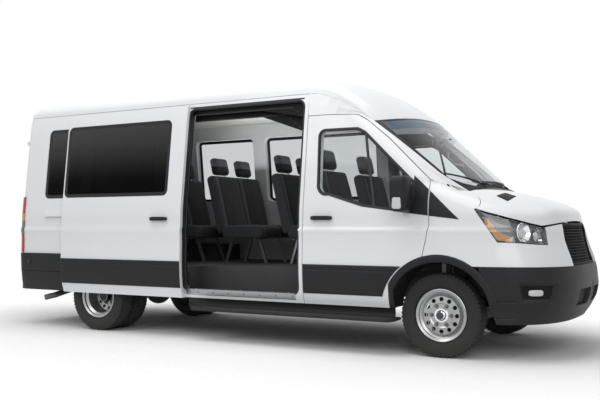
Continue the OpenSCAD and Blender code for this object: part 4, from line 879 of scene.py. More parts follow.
screen_k = np.concatenate([[0.002, 0.03], np.linspace(0.06, 0.86, 22), [0.885, 0.94, 0.982, 0.998]])
s, k = np.meshgrid(np.concatenate([[0.998, 0.965], np.linspace(0.93, -0.93, 41), [-0.965, -0.998]]),
                   screen_k, indexing="ij")
outer = screen_point(s, k)
points, faces, _ = shell(outer, outer - 6 * hull_normal(outer))
across, up = np.tile(s.reshape(-1), 2)[faces].mean(1), np.tile(k.reshape(-1), 2)[faces].mean(1)
index = np.where((np.abs(across) > 0.965) | (up < 0.03) | (up > 0.982), 1, np.where(up > 0.87, 2, 0))
outward(add("windscreen_glass", points, faces, [clear, gloss_black, band_blue], "body", index=index,
            replaces="windscreen", slot="clear_glass"))


# Windows
def inset(outline, d):
    """An outline moved inwards by a distance: each corner along the mean of its two sides' normals."""
    o = np.asarray(outline, float)
    before, after = o - np.roll(o, 1, 0), np.roll(o, -1, 0) - o
    turn = np.array([[0, -1], [1, 0]])
    a = before @ turn.T / np.linalg.norm(before, axis=1, keepdims=True)
    b = after @ turn.T / np.linalg.norm(after, axis=1, keepdims=True)
    m = a + b
    m *= 2 / np.maximum((m ** 2).sum(1, keepdims=True), 0.3)
    nxt = np.roll(o, -1, 0)
    sign = np.sign((o[:, 0] * nxt[:, 1] - nxt[:, 0] * o[:, 1]).sum())
    return o + sign * d * m


def on_flank(side):
    """Places on the straight side: the wall's half width, moved out."""
    return lambda x, z, out: np.stack([x, side * (wall_y(z) + out), z], -1)


def on_side(side):
    """Places on the side that draws in towards the nose, moved out."""
    return lambda x, z, out: np.stack([x, side * (side_y(x, z) + out), z], -1)


def on_back(side):
    """Places on the flat rear face: the outline's first measure runs across the van."""
    return lambda y, z, out: np.stack([REAR_X - out + 0 * y, side * y, z], -1)


def pane(name, outline, border, place, materials, body, out, thick=6.0, step=60, **more):
    """A plate of an outline: rings from its middle over its edge and back; the rim has its own finish."""
    o = dense(outline, step)
    rim = inset(o, border)
    mid = rim.mean(0)
    rings = [mid + (rim - mid) * s for s in (0.0, 0.3, 0.6, 0.85)] + [rim, o]
    front = [place(r[:, 0], r[:, 1], out) for r in rings]
    back = [place(r[:, 0], r[:, 1], out - thick) for r in rings]
    grid = np.stack(front + back[::-1])
    strip = np.repeat(np.arange(len(grid) - 1), len(o))
    index = np.isin(strip, (4, 5, 6)).astype(int) if isinstance(materials, (list, tuple)) else None
    return outward(add(name, grid, quads(len(grid), len(o), False, True), materials, body, index=index,
                       **more))


frit = gloss_black
glass = {1: [tinted, frit], -1: [privacy, frit]}
parts = []
for side in (1, -1):
    for x0, x1 in WINDOWS[side]:
        outline = inset(rounded(x0, x1, *WINDOW_Z, WINDOW_R), 2.5)
        parts.append(pane("side_pane", outline, 34, on_flank(side), glass[side], "body", -3, 6))
panes = merged("side_window_panes", parts)
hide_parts("side_windows")
pane("sliding_door_pane", inset(rounded(*SLIDER_WINDOW, *WINDOW_Z, WINDOW_R), 2.5), 34, on_flank(-1),
     glass[-1], "body", SLIDER_OUT - 3, 6, replaces="sliding_door_glass", slot="tinted_glass")
DIVISION = [(-702, 1903), (-680, 1888), (-556, 1250), (-580, 1246)]
SAIL = [(-225, 1512), (-93, 1392), (-86, 1174), (-395, 1212), (-381, 1224), (-227, 1277)]
SAIL_TIP = [(-78, 1380), (176, 1142), (-77, 1172)]
for side, word in SIDES:
    body = word + "_front_door"
    pane(word + "_door_pane", inset(door_window, 2.0), 16, on_side(side), [clear, frit], body, -5, 5,
         replaces=word + "_door_glass", slot="clear_glass")
    pane(word + "_division_bar", DIVISION, 4, on_side(side), rubber, body, 1, 14, step=90)
    pane(word + "_sail", SAIL, 6, on_side(side), plastic, body, 3.0, 3.4, step=40)
    pane(word + "_sail_tip", SAIL_TIP, 5, on_side(side), plastic, "body", 3.0, 3.4, step=30)
    edge = dense(door_window, 25)
    line = on_side(side)(edge[:, 0], edge[:, 1], 0)
    sweep(word + "_window_seal", line, hull_normal(line),
          [(-9, -8), (9, -8), (9, 1), (6, 3.5), (-6, 3.5), (-9, 1)],
          rubber, body)

# Lower cladding, flares and bumpers
CLAD_LOW, CLAD_HIGH, CLAD_T = 490.0, 750.0, 14.0


def cladding(name, x0, x1, side, out, body):
    """A strip along the flank, rounded in at its edges, with a long groove; x1 may change with height."""
    z = np.concatenate([np.linspace(CLAD_LOW, CLAD_LOW + 14, 6)[:-1],
                        np.linspace(CLAD_LOW + 14, CLAD_HIGH - 14, 30),
                        np.linspace(CLAD_HIGH - 14, CLAD_HIGH, 6)[1:]])
    end = x1(z) if callable(x1) else np.full_like(z, x1)
    k = np.concatenate([np.linspace(0, 10, 5)[:-1], np.linspace(10, 990, 30),
                        np.linspace(990, 1000, 5)[1:]]) / 1000
    x = x0 + (end - x0)[None] * k[:, None]
    round_in = lambda d, r: np.sqrt(np.clip(1 - (1 - np.clip(d / r, 0, 1)) ** 2, 0, 1))
    lift = np.minimum(round_in(np.minimum(x - x0, end[None] - x), 10),
                      round_in(np.minimum(z - CLAD_LOW, CLAD_HIGH - z), 12))
    lift = lift - 0.3 * np.exp(-((z - 705) / 4.0) ** 2)
    y = side_y(x, z[None] + 0 * x)
    high = np.broadcast_to(z, x.shape)
    outer = np.stack([x, y + out + 0.6 + (CLAD_T - 1) * np.clip(lift, 0, 1), high], -1)
    inner = np.stack([x, y + out + 0.5, high], -1)
    outer, inner = sided(side, outer, inner)
    return plate(name, outer, inner, plastic, body)


FLARE_R = 440.0


def flare(side):
    """The band round a front wheel arch, from the sill over to the bumper: rounded, with a lip inwards."""
    t = np.radians(np.linspace(148, 14, 61))
    ring = lambda r: np.stack([r * np.cos(t), WHEEL_Z + r * np.sin(t)], -1)
    edge = np.where(ARCH_R * np.cos(t) < -123, ARCH_R - GAP, ARCH_R - 1.5)[:, None]
    low_in = np.stack([np.full(9, -392.0), np.linspace(SILL_Z, 560, 9)], -1)
    low_out = np.stack([np.full(9, -433.0), np.linspace(SILL_Z, 590, 9)], -1)
    inner = np.concatenate([low_in, ring(FLARE_R)])
    outer = np.concatenate([low_out, ring(1.0) * edge + (1 - edge) * np.array([0, WHEEL_Z])])
    k = np.linspace(0, 1, 13)
    q = inner[:, None] + (outer - inner)[:, None] * k[None, :, None]
    lift = np.sqrt(np.clip(1 - np.clip(np.abs(2 * k - 1) * 1.02, 0, 1) ** 4, 0, 1)) * 10 + 0.2
    y = side_y(q[..., 0], q[..., 1])
    face = np.stack([q[..., 0], y + lift, q[..., 1]], -1)
    lip = np.stack([q[:, :1, 0], y[:, :1] - 38, q[:, :1, 1]], -1)
    top = np.concatenate([lip, face], 1)
    rear = np.concatenate([lip, np.stack([q[..., 0], y - 38, q[..., 1]], -1)], 1)
    return sided(side, top, rear)


parts = [cladding("clad_left", -3310, PILLAR_X - 2, 1, 0, "body"),
         cladding("clad_right", -3310, -2620, -1, 0, "body")]
for side in (1, -1):
    parts.append(plate("flare", *flare(side), plastic, "body"))
claddings = merged("lower_cladding", parts)
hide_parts("body_cladding")


def rounded_block(x, y, z, n=4.0, nu=40, nv=24):
    """A block with round edges: a box whose sections are power curves of exponent n."""
    u = np.linspace(-np.pi, np.pi, nu, endpoint=False)[:, None]
    v = np.linspace(-np.pi / 2, np.pi / 2, nv)[None]
    p = lambda a: np.sign(a) * np.abs(a) ** (2 / n)
    c, s = p(np.cos(v)), p(np.sin(v)) + 0 * u
    unit = np.stack([c * p(np.cos(u)), c * p(np.sin(u)), s], -1)
    half = np.array([x[1] - x[0], y[1] - y[0], z[1] - z[0]]) / 2
    return unit * half + np.array([sum(x), sum(y), sum(z)]) / 2


def block(name, x, y, z, materials, body, n=4.0, side=1, shape=None):
    """A piece from a rounded block, on the left or mirrored to the right, with its points moved by a rule."""
    g = rounded_block(x, y, z, n)
    if shape:
        g = shape(g)
    g = g * np.array([1, side, 1])
    return outward(add(name, g, quads(*g.shape[:2], True, False), materials, body))


def handle(name, x, side, out, body):
    """A pull handle: a bowed bar on two feet."""
    y = float(wall_y(1160)) + out
    bow = lambda g: g + np.stack([0 * g[..., 0], 10 * (1 - ((g[..., 0] - x) / 105) ** 2), 0 * g[..., 0]], -1)
    bar = block(name, (x - 104, x + 104), (y + 12, y + 29), (1140, 1178), plastic, body, 5, side, bow)
    feet = [block(name, (a - 20, a + 20), (y - 2, y + 26), (1143, 1175), plastic, body, 5, side)
            for a in (x - 80, x + 80)]
    return merged(name, [bar] + feet)


def mirror_shell(name, side, body):
    """Door mirror: a tall housing with an arm, its glass and a turn lamp lens on its outer edge."""
    swell = lambda g: np.stack([g[..., 0] - 18 * ((g[..., 1] - 1141) / 96) ** 2 * (g[..., 0] > -260),
                                g[..., 1], g[..., 2]], -1)
    shell_piece = block(name, (-338, -196), (1012, 1236), (1205, 1500), plastic, body, 6, side, swell)
    arm = block(name, (-312, -226), (985, 1075), (1196, 1226), plastic, body, 4, side,
                lambda g: g + np.stack([0 * g[..., 0], 0 * g[..., 1], 8 * (g[..., 1] - 985) / 90], -1))
    block(name + "_glass", (-341, -330), (1062, 1190), (1262, 1452), mirror_glass, body, 8, side)
    block(name + "_lens", (-316, -232), (1206, 1236.5), (1226, 1335), grey_lens, body, 5, side)
    return merged(name, [shell_piece, arm])


DOOR_ARCH_R = 514


def door_arch_x(z):
    """Where the front door's lower strip ends, on a circle round the wheel."""
    return -np.sqrt(DOOR_ARCH_R ** 2 - (z - WHEEL_Z) ** 2)


for side, word in SIDES:
    body = word + "_front_door"
    strip = cladding(word + "_door_strip", -1261, door_arch_x, side, 0, body)
    pull = handle(word + "_pull", -1073, side, 0, body)
    housing = mirror_shell(word + "_mirror", side, body)
    trim = merged(word + "_door_fittings", [strip, pull, housing])
    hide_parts(word + "_door_trim")
strip = cladding("slider_strip", SLIDER[0] + 3, SLIDER[1] - 3, -1, SLIDER_OUT, "body")
pull = handle("slider_pull", SLIDER[1] - 260, -1, SLIDER_OUT, "body")
trim = merged("sliding_door_fittings", [strip, pull])
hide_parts("sliding_door_trim")

# Front bumper
BUMPER_EDGE = ((300, 462), (763, 335))
FOG_ALONG = (-300.0, 155.0)
FOG_Z = (488.0, 630.0)
INTAKE = (400.0, 430.0, 570.0)


def soft_box(a, a0, a1, b, b0, b1, r):
    """One inside a rectangle and nought outside, with a ramp of width r inside its edges."""
    return np.minimum(ramp(a0, a0 + r, a) * (1 - ramp(a1 - r, a1, a)),
                      ramp(b0, b0 + r, b) * (1 - ramp(b1 - r, b1, b)))


def bumper_net():
    """Half the bumper's net, from its rear edge at the arch to the middle, with rows from bottom to top."""
    rows = [300, 350, 420, 500, 600, 700, 763]
    half = []
    for at in (("edge", 0), ("x", 560), ("x", 660), ("y", 880), ("y", 800), ("y", 650), ("y", 450),
               ("y", 220), ("y", 0)):
        column = []
        for z in rows:
            if at[0] == "edge":
                x = float(np.interp(z, *zip(*BUMPER_EDGE)))
                column.append([x, float(side_y(x, z)), z])
            else:
                column.append(station(at, z))
        half.append(column)
    half = np.array(half, float)
    return np.concatenate([half, mirrored(half)[1:]])


plain = refined(bumper_net(), 14, 12)
y, z = np.abs(plain[..., 1]), plain[..., 2]
nose = ramp(560, 800, plain[..., 0])
along = plain[..., 0] - y
taper = (FOG_Z[1] - z) * 0.3
deep = 20 * soft_box(along, FOG_ALONG[0] + taper, FOG_ALONG[1] - taper, z, *FOG_Z, 16)
deep += 12 * soft_box(along, FOG_ALONG[0] + 34 + taper, FOG_ALONG[1] - 34 - taper, z, FOG_Z[0] + 20,
                      FOG_Z[1] - 22, 12)
deep += 36 * soft_box(y, 70, INTAKE[0], z, *INTAKE[1:], 12)
deep += 9 * soft_box(z, 478, 496, plain[..., 0], 200, 640, 9)
deep += 7 * soft_box(z, 344, 360, plain[..., 0], 200, 620, 8)
deep -= 9 * soft_box(z, 420, 640, y, 0, 2000, 60) * nose
way = np.stack([nose, (1 - nose) * np.sign(plain[..., 1]), 0 * nose], -1)
grid = plain - deep[..., None] * way
inner = plain - np.stack([62 * ramp(470, 700, plain[..., 0]), plain[..., 1] * 45 / HALF_W, 0 * nose], -1)
points, faces, index = shell(grid, inner)
# Painted shade: faces sunk more than 13 mm take the darker, duller flat black, at the bottom of the intake
# and the fog lamp recesses.
sunk = np.tile(deep.reshape(-1), 2)[faces].mean(1)
outward(add("front_bumper_skin", points, faces, [plastic, flat_black], "body",
            index=(sunk > 13).astype(int) * (index == 0), replaces="front_bumper", slot="black_trim",
            sharp=40))


def fog_place(g):
    """Sets a fog lamp in the bumper's corner: bowed, then turned to face the way the corner does."""
    a, b = g[..., 0] + 12 * (1 - (g[..., 1] / 68) ** 2), g[..., 1]
    return np.stack([767 + 0.62 * a - 0.785 * b, 872 + 0.785 * a + 0.62 * b, g[..., 2]], -1)


for side, word in SIDES:
    block("fog_lamp_" + word, (-42, -8), (-62, 62), (534, 584), grey_lens, "body", 4, side, fog_place)
parts = []
for z0 in (452, 482, 512, 542):
    for side in (1, -1):
        yy = side * np.linspace(78, 392, 21)
        path_points = np.stack([front_x(yy, z0) - 34, yy, np.full(21, float(z0))], -1)
        parts.append(sweep("slat", path_points, [1.0, 0, 0], [(-5, -8), (5, -8), (5, 6), (-5, 6)],
                           flat_black, "body", closed=False))
merged("lower_grille_slats", parts)

# Grille: a dark back, a frame round it, level bars and fine uprights
sunk_x = lambda y, z: front_x(y, z) - 30 * ramp(1100, 790, z)
zz = np.linspace(768, 1102, 24)
k = np.linspace(-1, 1, 41)[:, None]
yy = k * grille_half(zz)[None]
field = np.stack([sunk_x(yy, zz[None] + 0 * yy), yy, zz[None] + 0 * yy], -1)
parts = [plate("grille_back", field - [52, 0, 0], field - [56, 0, 0], rubber, "body")]
ring_z = np.concatenate([np.full(40, 768.0), np.linspace(768, 1102, 20)[1:-1], np.full(40, 1102.0),
                         np.linspace(1102, 768, 20)[1:-1]])
ring_k = np.concatenate([np.linspace(-1, 1, 40), np.ones(18), np.linspace(1, -1, 40), -np.ones(18)])
ring_y = ring_k * grille_half(ring_z)
ring = np.stack([sunk_x(ring_y, ring_z) - 12, ring_y, ring_z], -1)
parts.append(sweep("grille_frame", ring, [1.0, 0, 0],
                   [(-12, -44), (12, -44), (12, 4), (8, 10), (-8, 10), (-12, 4)], flat_black, "body"))
for z0 in np.linspace(792, 1080, 13):
    yy = np.linspace(-1, 1, 41) * (grille_half(z0) - 6)
    line = np.stack([sunk_x(yy, z0) - 26, yy, np.full(41, z0)], -1)
    parts.append(sweep("grille_bar", line, [1.0, 0, 0], [(-4, -22), (4, -22), (2.5, 6), (-2.5, 6)],
                       flat_black, "body", closed=False))
for y0 in np.linspace(-448, 448, 33):
    zz = np.linspace(780, 1092, 9)
    zz = zz[grille_half(zz) > abs(y0) + 4]
    line = np.stack([sunk_x(np.full(len(zz), y0), zz) - 28, np.full(len(zz), y0), zz], -1)
    parts.append(sweep("grille_upright", line, [1.0, 0, 0], [(-3.5, -16), (3.5, -16), (3.5, 4), (-3.5, 4)],
                       flat_black, "body", closed=False))
grille = merged("grille_mesh", parts)
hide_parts("grille")

# Headlamps: a dark housing sunk behind a clear cover, an amber wedge and two bright bowls
LAMP = [(("x", 306), 1206, 1212), (("x", 385), 1093, 1188), (("x", 478), 958, 1163), (("y", 900), 951, 1139),
        (("y", 800), 939, 1097), (("y", 722), 935, 1076)]
LAMP_NET = patch(LAMP, 4)


def lamp_point(s, t):
    """A place on a headlamp's face: a share s along it from the rear tip, a share t up it."""
    net = LAMP_NET
    k = np.clip(np.asarray(s) * 5, 0, 4.9999)
    i = k.astype(int)
    j = np.clip(np.asarray(t) * 4, 0, 3.9999)
    m = j.astype(int)
    a, b = (k - i)[..., None], (j - m)[..., None]
    p = (net[i, m] * (1 - a) * (1 - b) + net[i + 1, m] * a * (1 - b) + net[i, m + 1] * (1 - a) * b
         + net[i + 1, m + 1] * a * b)
    return onto_skin(p)


def lamp_field(deep):
    """The headlamp's whole face, sunk behind the skin."""
    s, t = np.meshgrid(np.linspace(0, 1, 50), np.linspace(0, 1, 20), indexing="ij")
    p = lamp_point(s, t)
    return p - deep * hull_normal(p)


for side, word in SIDES:
    flip = (lambda g: g) if side > 0 else mirrored
    plate(word + "_lamp_cover", flip(lamp_field(0)), flip(lamp_field(4)), lens, "body", slot="lamp_clear")
    s, t = np.meshgrid(np.linspace(0, 1, 50), np.linspace(0, 1, 24), indexing="ij")
    sunk = 6 + 48 * np.minimum(1, np.minimum(np.minimum(s, 1 - s) * 9, np.minimum(t, 1 - t) * 5))
    p = lamp_point(s, t)
    normal = hull_normal(p)
    points, faces, _ = shell(flip(p - sunk[..., None] * normal), flip(p - (sunk + 6)[..., None] * normal))
    rim = np.tile(np.minimum(np.minimum(s, 1 - s) * 2.4, np.minimum(t, 1 - t)).reshape(-1), 2)[faces].mean(1)
    outward(add(word + "_lamp_housing", points, faces, [lamp_grey, flat_black], "body",
                index=(rim < 0.075).astype(int), replaces="headlamps" if side > 0 else None))
    wedge_s = np.linspace(0.18, 0.55, 20)[:, None] + 0 * np.linspace(0, 1, 10)[None]
    wedge_t = 0.08 + np.linspace(0, 1, 10)[None] * (0.62 - 1.25 * (wedge_s - 0.18))
    p = lamp_point(wedge_s, wedge_t)
    plate(word + "_lamp_amber", flip(p - 18 * hull_normal(p)), flip(p - 26 * hull_normal(p)), amber, "body")
    for name, s0, t0, r in (("main", 0.69, 0.52, 76), ("side", 0.885, 0.50, 54)):
        c = lamp_point(np.array(s0), np.array(t0))
        axis = np.array([0.88, 0.42, 0.1])
        axis /= np.linalg.norm(axis)
        a = np.cross(axis, [0, 0, 1.0])
        a /= np.linalg.norm(a)
        b = np.cross(a, axis)
        h = np.linspace(0, 1, 14)[None, :, None]
        w = np.linspace(0, 2 * np.pi, 48, endpoint=False)[:, None, None]
        rr = r * np.sqrt(np.clip(h, 0.02, 1))
        bowl = c - axis * 62 + axis * 50 * h + rr * (np.cos(w) * a + np.sin(w) * b)
        back_bowl = c - axis * 66 + axis * 50 * h + (rr + 3) * (np.cos(w) * a + np.sin(w) * b)
        both = np.concatenate([bowl, back_bowl[:, ::-1]], 1)
        both[..., 1] *= side
        outward(add("%s_lamp_bowl_%s" % (word, name), both, quads(48, both.shape[1], True, True), chrome,
                    "body"))
        lens_r = r * 0.55
        v = np.linspace(0, np.pi / 2, 8)[None, :, None]
        ball = c - axis * 40 + axis * 16 * np.sin(v) + lens_r * np.cos(v) * (np.cos(w) * a + np.sin(w) * b)
        under_ball = c - axis * 44 + lens_r * np.cos(v) * (np.cos(w) * a + np.sin(w) * b)
        both = np.concatenate([ball, under_ball[:, ::-1]], 1)
        both[..., 1] *= side
        outward(add("%s_lamp_lens_%s" % (word, name), both, quads(48, both.shape[1], True, True), grey_lens,
                    "body"))


# Tyres
TYRE_STEPS = 240


def tyre_profile():
    """Half of a tyre's section as radius and reach: bead, bulged wall, shoulder and tread."""
    wall = np.array([(203.5, 66), (222, 67), (230, 83), (248, 94.5), (262, 96.5), (278, 97.3), (300, 96.2),
                     (316, 92.5),
                     (332, 87.3), (341, 84.5), (347, 77), (349, 60), (350, 30), (350, 0)], float)
    k = np.column_stack([np.arange(len(wall)), wall])
    u = np.linspace(0, len(wall) - 1, 44)
    return np.stack([curve(k, u, 1), curve(k, u, 2)], -1)


def tyre_mesh(centre, side):
    """A tyre: its section turned round the axle, with grooves round the tread and cuts across it."""
    half = tyre_profile()
    section = np.concatenate([half, half[-2::-1] * np.array([1, -1])])
    section = np.concatenate([section, [(203.5, -45), (233, -52), (233, 52), (203.5, 45)]])
    t = np.linspace(0, 2 * np.pi, TYRE_STEPS, endpoint=False)[:, None]
    r, h = section[None, :, 0] + 0 * t, section[None, :, 1] + 0 * t
    tread = r > 340
    groove = sum(np.exp(-((h - g) / 3.4) ** 4) for g in (-46, -16, 16, 46))
    phase = (t * 60 / (2 * np.pi) + 0.25 * np.sign(h)) % 1
    cut_across = (np.abs(phase - 0.5) < 0.16) * ramp(48, 54, np.abs(h))
    r = r - tread * np.clip(7 * groove, 0, 7) - (r > 327) * 9.0 * cut_across
    return np.stack([r * np.cos(t), h * side, r * np.sin(t)], -1) + np.asarray(centre, float)


def tyres(name, centres, side, body, node_name):
    """One or two tyres of a wheel as one piece."""
    grids = [tyre_mesh(c, side) for c in centres]
    n, m = grids[0].shape[:2]
    faces = quads(n, m, True, True)
    obj = add(name, np.concatenate([g.reshape(-1, 3) for g in grids]),
              np.concatenate([faces + k * n * m for k in range(len(grids))]), tyre_rubber, body,
              replaces=node_name, slot="tyre_rubber", sharp=30)
    return outward(obj)


for side, word in SIDES:
    tyres("front_%s_tread" % word, [(0, side * FRONT_Y, WHEEL_Z)], side, "front_%s_wheel" % word,
          "front_%s_tyre" % word)
    tyres("rear_%s_treads" % word, [(REAR_AXLE, side * y, WHEEL_Z) for y in (REAR_Y, REAR_Y - TWIN_PITCH)],
          side, "rear_%s_wheels" % word, "rear_%s_tyres" % word)


# Wheel fittings
def nut_ring(name, x, y, side, ring, count, foot, tall, r, mat, body):
    """Wheel nuts on a ring: turned with twelve sides, with a round washer below and a domed end."""
    parts = []
    for t in np.linspace(0, 2 * np.pi, count, endpoint=False):
        at = (x + ring * np.cos(t), y, WHEEL_Z + ring * np.sin(t))
        q = [(0, foot), (r * 1.3, foot), (r * 1.3, foot + 4), (r, foot + 4), (r, foot + tall - 5),
             (r * 0.8, foot + tall - 1), (r * 0.4, foot + tall), (0, foot + tall)]
        parts.append(turned(name, q, at, mat, body, steps=12, side=side))
    return merged(name, parts)


for side, word in SIDES:
    spin = "front_%s_wheel" % word
    nut_ring("front_%s_nuts" % word, 0, side * FRONT_Y, side, 85, 6, 58, 26, 13, iron, spin)
    cap = [(0, 56), (62, 56), (62, 66), (58, 70), (44, 72), (42, 60), (40, 60), (38, 90), (32, 96), (20, 98),
           (0, 98)]
    turned("front_%s_cap" % word, cap, (0, side * FRONT_Y, WHEEL_Z), [chrome], spin, 64, side=side)
    core = [(0, 90), (34, 90), (31, 96.6), (20, 98.8), (0, 98.8)]
    turned("front_%s_cap_end" % word, core, (0, side * FRONT_Y, WHEEL_Z), dash_dark, spin, 48, side=side)
    spin = "rear_%s_wheels" % word
    nut_ring("rear_%s_nuts" % word, REAR_AXLE, side * REAR_Y, side, 85, 6, -97, 28, 13, iron, spin)
    hub = [(0, -60), (63, -60), (63, -12), (58, -4), (46, 0), (44, 4), (30, 6), (0, 6)]
    turned("rear_%s_hub" % word, hub, (REAR_AXLE, side * REAR_Y, WHEEL_Z), gloss_black, spin, 64, side=side)

# Brake drums behind the discs
for side, word in SIDES:
    drum = [(0, 22), (120, 22), (146, 16), (152, 4), (152, -60), (0, -60)]
    turned("front_%s_drum" % word, drum, (0, side * FRONT_Y, WHEEL_Z), rubber, word + "_steering", 64,
           side=side)
    drum = [(0, -136), (150, -136), (150, -160), (0, -160)]
    turned("rear_%s_drum" % word, drum, (REAR_AXLE, side * REAR_Y, WHEEL_Z), rubber, "rear_%s_wheels" % word,
           64, side=side)


# Wheel arch linings and the panel behind the running board
def arch_lining(name, x, r, y0, y1, side, a0, a1):
    """The dark lining over a wheel: part of a drum, 6 mm thick."""
    t = np.radians(np.linspace(a0, a1, 41))[:, None]
    y = side * np.linspace(y0, y1, 8)[None]
    inner, outer = (np.stack([x + q * np.cos(t) + 0 * y, y + 0 * t, WHEEL_Z + q * np.sin(t) + 0 * y], -1)
                    for q in (r, r + 6))
    return plate(name, inner, outer, rubber, "body")


for side, word in SIDES:
    arch_lining("front_%s_arch_lining" % word, 0, 462, 640, 955, side, -2, 176)
    arch_lining("rear_%s_arch_lining" % word, REAR_AXLE, 446, 560, 965, side, 4, 176)

x = np.linspace(-2600, -410, 30)
profile = np.array([(952, 402), (940, 392), (930, 352), (934, 318), (946, 300)], float)
along, across = x[:, None] + 0 * profile[:, 0], 0 * x[:, None]
skirt = np.stack([along, across - profile[:, 0], across + profile[:, 1]], -1)
plate("step_skirt", skirt, skirt + [0, 12, 0], plastic, "body")
profile = np.array([(942, 300), (1000, 288), (1100, 283), (1122, 290), (1129, 302), (1126, 316), (1117, 322),
                    (1104, 324),
                    (1090, 322.5), (1070, 324), (1050, 322.5), (1030, 324), (1010, 322.5), (990, 324),
                    (968, 322), (950, 318)], float)
x = np.concatenate([np.linspace(-2447, -2430, 6), np.linspace(-2400, -460, 40), np.linspace(-430, -346, 14)])
grow = np.clip(np.minimum((x + 2447) / 17, (-345 - x) / 84), 0, 1)
grow = np.sqrt(np.clip(1 - (1 - grow) ** 2, 0, 1))
mid = np.array([950.0, 312.0])
q = mid + (profile - mid)[None] * np.stack([0.15 + 0.85 * grow, 0.35 + 0.65 * grow], -1)[:, None]
ring = np.stack([np.broadcast_to(x[:, None], q.shape[:2]), -q[..., 0], q[..., 1]], -1)
outward(add("running_board_step", ring, bar_faces(*q.shape[:2]), plastic, "body", replaces="running_board",
            slot="black_trim"))


# Hood air slots, cowl, wipers, inside mirror
def on_hood(x, y, out):
    """Places on the hood over a plan: the skin's height, found by halving, and the hood's rise."""
    low, high = np.full(len(x), 1050.0), np.full(len(x), 1450.0)
    for _ in range(24):
        z = (low + high) / 2
        outside = hull(np.stack([x, y, z], -1)) > 0
        low, high = np.where(outside, low, z), np.where(outside, z, high)
    p = np.stack([x, y, z], -1)
    return p + hood_rise(p) + out * hull_normal(p)


for side, word in SIDES:
    plan = [(392, side * 690), (412, side * 505), (508, side * 525), (492, side * 715)]
    pane("%s_hood_vent" % word, plan, 8, on_hood, flat_black, "hood", 4.0, 6, step=20)
    for k in (0.25, 0.5, 0.75):
        a = np.array(plan[0]) * (1 - k) + np.array(plan[3]) * k
        b = np.array(plan[1]) * (1 - k) + np.array(plan[2]) * k
        w = np.linspace(0.06, 0.94, 12)[:, None]
        line = a * (1 - w) + b * w
        pts = on_hood(line[:, 0], line[:, 1], 4.5)
        sweep("%s_hood_slat" % word, pts, hull_normal(pts), [(-5, -1), (5, -1), (3, 4), (-3, 2)],
              gloss_black, "hood", closed=False)

s = np.linspace(0.985, -0.985, 61)[:, None]
top_k = 0.025 + 0.165 * ramp(0.70, 1.0, np.abs(s)) ** 1.2
k = 0.004 + (top_k - 0.004) * np.linspace(0, 1, 8)[None]
p = screen_point(s + 0 * k, k)
plate("cowl_strip", p + 1.4 * hull_normal(p), p + 0.3 * hull_normal(p), flat_black, "body")

for k, (s0, k0, s1, k1) in enumerate(((-0.965, 0.215, -0.50, 0.05), (-0.44, 0.055, 0.34, 0.06))):
    w = np.linspace(0, 1, 30)
    line = screen_point(s0 + (s1 - s0) * w, k0 + (k1 - k0) * w)
    up = hull_normal(line)
    blade = sweep("wiper", line + up * 3, up, [(-2, 0), (2, 0), (3, 4), (9, 6), (9, 11), (-9, 11), (-9, 6),
                                               (-3, 4)], rubber, "body", closed=False)
    foot = screen_point(np.array(s1 + 0.02), np.array(0.012)) + [2, 0, 4]
    tip = screen_point(np.array(s0 + 0.45 * (s1 - s0)), np.array(k0 + 0.45 * (k1 - k0)))
    tip = tip + hull_normal(tip) * 15
    bend = foot * 0.5 + tip * 0.5 + [2, 0, 5]
    arm = tube("wiper_arm", np.array([foot, foot * 0.75 + bend * 0.25 + [0, 0, 3], bend, tip]), 6.5, plastic,
               "body", sides=8)
    knob = turned("wiper_pivot", [(0, 0), (14, 0), (14, 8), (9, 12), (0, 12)], foot - [0, 0, 8], plastic,
                  "body", 24, "z")
    merged("wiper_%d" % (k + 1), [blade, arm, knob])

glass_mid = screen_point(np.array(0.0), np.array(0.70))
block("inside_mirror", (glass_mid[0] - 150, glass_mid[0] - 118), (-118, 118),
      (glass_mid[2] - 62, glass_mid[2] + 8), plastic, "body", 5)
block("inside_mirror_glass", (glass_mid[0] - 153, glass_mid[0] - 147), (-110, 110),
      (glass_mid[2] - 55, glass_mid[2] + 1), mirror_glass, "body", 8)
tube("inside_mirror_stalk", np.array([glass_mid + [-6, 0, 10], glass_mid + [-60, 0, 6],
                                      glass_mid + [-122, 0, -24]]), 9, plastic, "body")

for side, word in SIDES:
    w = np.linspace(0, 1, 13)[:, None]
    line = np.array([-400.0, side * 806, 1712]) * (1 - w) + np.array([-556.0, side * 800, 1856]) * w
    line = line - np.array([0.4, side * 1.0, 0.5]) * 46 * np.clip(np.sin(np.pi * w) * 1.6, 0, 1)
    tube(word + "_grab_handle", line, 11, trim_grey, "body", sides=12)
for side, word in SIDES:
    x = np.linspace(CORNER_X, PILLAR_X, 40)
    line = np.stack([x, np.full(40, side * (float(wall_y(2289)) + 0.6)), np.full(40, 2289.5)], -1)
    sweep(word + "_roof_seam", line, [0.0, side, 0],
          [(-2.5, -1.5), (2.5, -1.5), (2.5, 1.2), (-2.5, 1.2)], trim_grey, "body", closed=False)

# Rear corners of the bumper: a groove line and round caps
for side, word in SIDES:
    turned(word + "_bumper_cap", [(0, 0), (30, 0), (30, 3), (26, 5), (0, 5)],
           (-4700, side * (float(wall_y(700)) + 15.5), 700), gloss_black, "body", 40, side=side)
    x = np.linspace(-4780, -4200, 12)
    line = np.stack([x, np.full(12, side * (float(wall_y(600)) + 16)), np.full(12, 600.0)], -1)
    sweep(word + "_bumper_groove", line, [0.0, side, 0], [(-3, -2), (3, -2), (3, 0.8), (-3, 0.8)], flat_black,
          "body", closed=False)

# Seats
RECLINE = math.radians(14)
SEAT_Z = 1090.0
BACK_UP = np.array([-math.sin(RECLINE), 0, math.cos(RECLINE)])
BACK_OUT = np.array([math.cos(RECLINE), 0, math.sin(RECLINE)])
FRONT_BACK, BENCH_BACK = 615, 645


